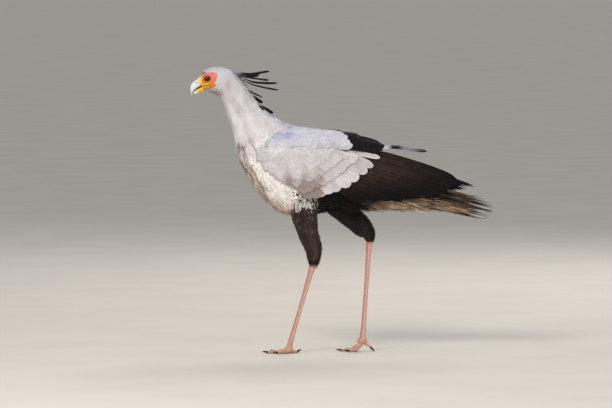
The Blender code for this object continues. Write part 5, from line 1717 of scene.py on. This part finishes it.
def legTint(points, start, centre, floor):
    # redder down the front, with dark seams between the plates
    tangent = unit(centre - start)
    along = np.sum((points - start) * tangent, -1)
    off = points - start - tangent * along[:, None]
    forward = smooth(-0.1, 0.85, -off[:, 0] / np.maximum(np.linalg.norm(off, axis=1), 1e-6))
    part = np.mod((along + 0.03 * np.linalg.norm(centre - start)) / legSettings["scute"], 1.0)
    seam = (bell(part, 0.09) + bell(part - 1, 0.07)) * forward
    tint = layTints(colours["pink"], ("shinRed", 0.70 * forward)) * (1 - 0.45 * seam[:, None])
    apart = np.hypot(points[:, 0] - floor[0], points[:, 1] - floor[1])
    part = np.mod(apart / legSettings["toeScute"], 1.0)
    seam = (bell(part, 0.12) + bell(part - 1, 0.10)) * smooth(0.018, 0.022, apart)
    seam = seam * smooth(0.004, 0.007, points[:, 2])
    # the foot is painted darker towards the floor: painted shade on the toes' undersides
    footTint = colours["foot"] * (0.70 + 0.30 * smooth(0.0, 0.008, points[:, 2]) - 0.40 * seam)[:, None]
    return between(tint, footTint, smooth(0.05, 0.025, points[:, 2])[:, None])


def buildLeg(side, sign):
    ankle, joint = legSettings["ankles"][side], legSettings["joints"][side]
    start = np.array((ankle[0] + shiftX, sign * ankle[2], ankle[1]))
    centre = np.array((joint[0] + shiftX, sign * joint[2], joint[1]))
    lift = legSettings["lift"][side]
    floor = np.array((centre[0], centre[1], 0.0))
    share = np.concatenate([np.linspace(-0.03, 0.0, 3)[:-1], np.linspace(0, 1, 330)])
    line = start + (centre - start) * share[:, None]
    line = np.concatenate([line, floor + np.array([(-0.002, 0, lift + h) for h in (0.0135, 0.0105)])])
    sizes = legSettings["sizes"]
    deep, wide = [np.append(np.interp(share, sizes[:, 0], size), (0.0105, 0.0095)) for size in sizes[:, 1:].T]
    bulge = 1 + 0.04 * np.sin(np.linspace(0, 1, len(deep)) * 9)
    sideways = np.array((0.0, 1.0, 0.0))
    scute, step = legSettings["scute"], legSettings["scuteStep"]
    rings = scutedTube(line, deep * bulge, wide * bulge, sideways, scute, step)
    leg = gridSkin("leg" + side.capitalize(), rings)
    bpy.ops.object.select_all(action="DESELECT")
    padPlace = floor + np.array(legSettings["padPlace"]) + np.array((0, 0, lift))
    bpy.ops.mesh.primitive_uv_sphere_add(segments=40, ring_count=26, radius=1, location=padPlace,
                                         scale=legSettings["padSize"])
    pad = bpy.context.active_object
    bpy.ops.object.transform_apply(location=True, rotation=True, scale=True)
    dropUnwraps(pad)
    toes, claws = zip(*[buildToe(title, sign, floor, lift) for title in legSettings["toes"]])
    joinAll(leg, [pad, *toes])
    pickOnly(leg)
    smoothFoot(leg, floor, lift)
    setTint(leg.data, legTint(meshPoints(leg), start, centre, floor))
    finishPiece(leg, legScales, ["tarsus_" + side, "foot_" + side], 60)
    pickOnly(*claws)
    bpy.ops.object.join()
    joined = bpy.context.active_object
    joined.name = joined.data.name = "claws" + side.capitalize()
    setTint(joined.data, np.broadcast_to(colours["claw"], (len(joined.data.vertices), 3)))
    finishPiece(joined, clawHorn, [f"claw_{title}_{side}" for title in legSettings["toes"]])


for side, sign in sides.items():
    buildLeg(side, sign)
print("legs and claws made")


# Floor, light and camera

stageSettings = dict(floor=(222, 216, 206), world=(238, 239, 242), worldStrength=0.50)


def buildStage():
    bpy.ops.object.select_all(action="DESELECT")
    bpy.ops.mesh.primitive_plane_add(size=300)
    floor = bpy.context.active_object
    floor.name = "floor"
    material, tree, shader = startMaterial("paleFloor", 0.85)
    cloud = rangeNode(tree, noiseNode(tree, 3.0, 6.0), 0.3, 0.7, 0.97, 1.02)
    shadeBase(tree, shader, paint(*stageSettings["floor"]), cloud)
    floor.data.materials.append(material)
    world = bpy.data.worlds.new("paleWorld")
    bpy.context.scene.world = world
    world.use_nodes = True
    back = world.node_tree.nodes["Background"]
    back.inputs[0].default_value = (*paint(*stageSettings["world"]), 1)
    back.inputs[1].default_value = stageSettings["worldStrength"]
    # the default transform turns the face's orange and red pale
    bpy.context.scene.view_settings.view_transform = "Standard"


lights = (
    dict(name="key", place=(-2.2, -4.6, 4.2), size=1.8, power=215, colour=(1.0, 0.965, 0.91)),
    dict(name="fill", place=(3.4, -4.5, 1.6), size=4.0, power=24, colour=(0.93, 0.96, 1.0)),
    dict(name="rim", place=(1.5, 3.8, 3.6), size=2.5, power=85, colour=(1.0, 0.98, 0.95)),
)


def addLights():
    for light in lights:
        bpy.ops.object.light_add(type="AREA", location=light["place"])
        lamp = bpy.context.active_object
        lamp.name = light["name"] + "Light"
        lamp.data.shape = "DISK"
        lamp.data.size = light["size"]
        lamp.data.energy = light["power"]
        lamp.data.color = light["colour"]
        aim = Vector((-0.1, 0, 0.5)) - Vector(light["place"])
        lamp.rotation_euler = aim.to_track_quat("-Z", "Y").to_euler()


# height is in degrees above the aim
cameraSettings = dict(lens=300, distance=15.3, height=3.0, aim=(-0.105, 0, 0.447))


def addCamera():
    lower = math.radians(cameraSettings["height"])
    aim = Vector(cameraSettings["aim"]) + Vector((shiftX, 0, 0))
    look = Vector((0, math.cos(lower), -math.sin(lower)))
    bpy.ops.object.camera_add(location=aim - look * cameraSettings["distance"])
    camera = bpy.context.active_object
    camera.data.lens = cameraSettings["lens"]
    camera.data.sensor_width = 36
    camera.data.clip_end = 400
    camera.rotation_euler = look.to_track_quat("-Z", "Y").to_euler()
    bpy.context.scene.camera = camera


buildStage()
addLights()
addCamera()
print("floor, lights and camera placed")


print("scene ready")
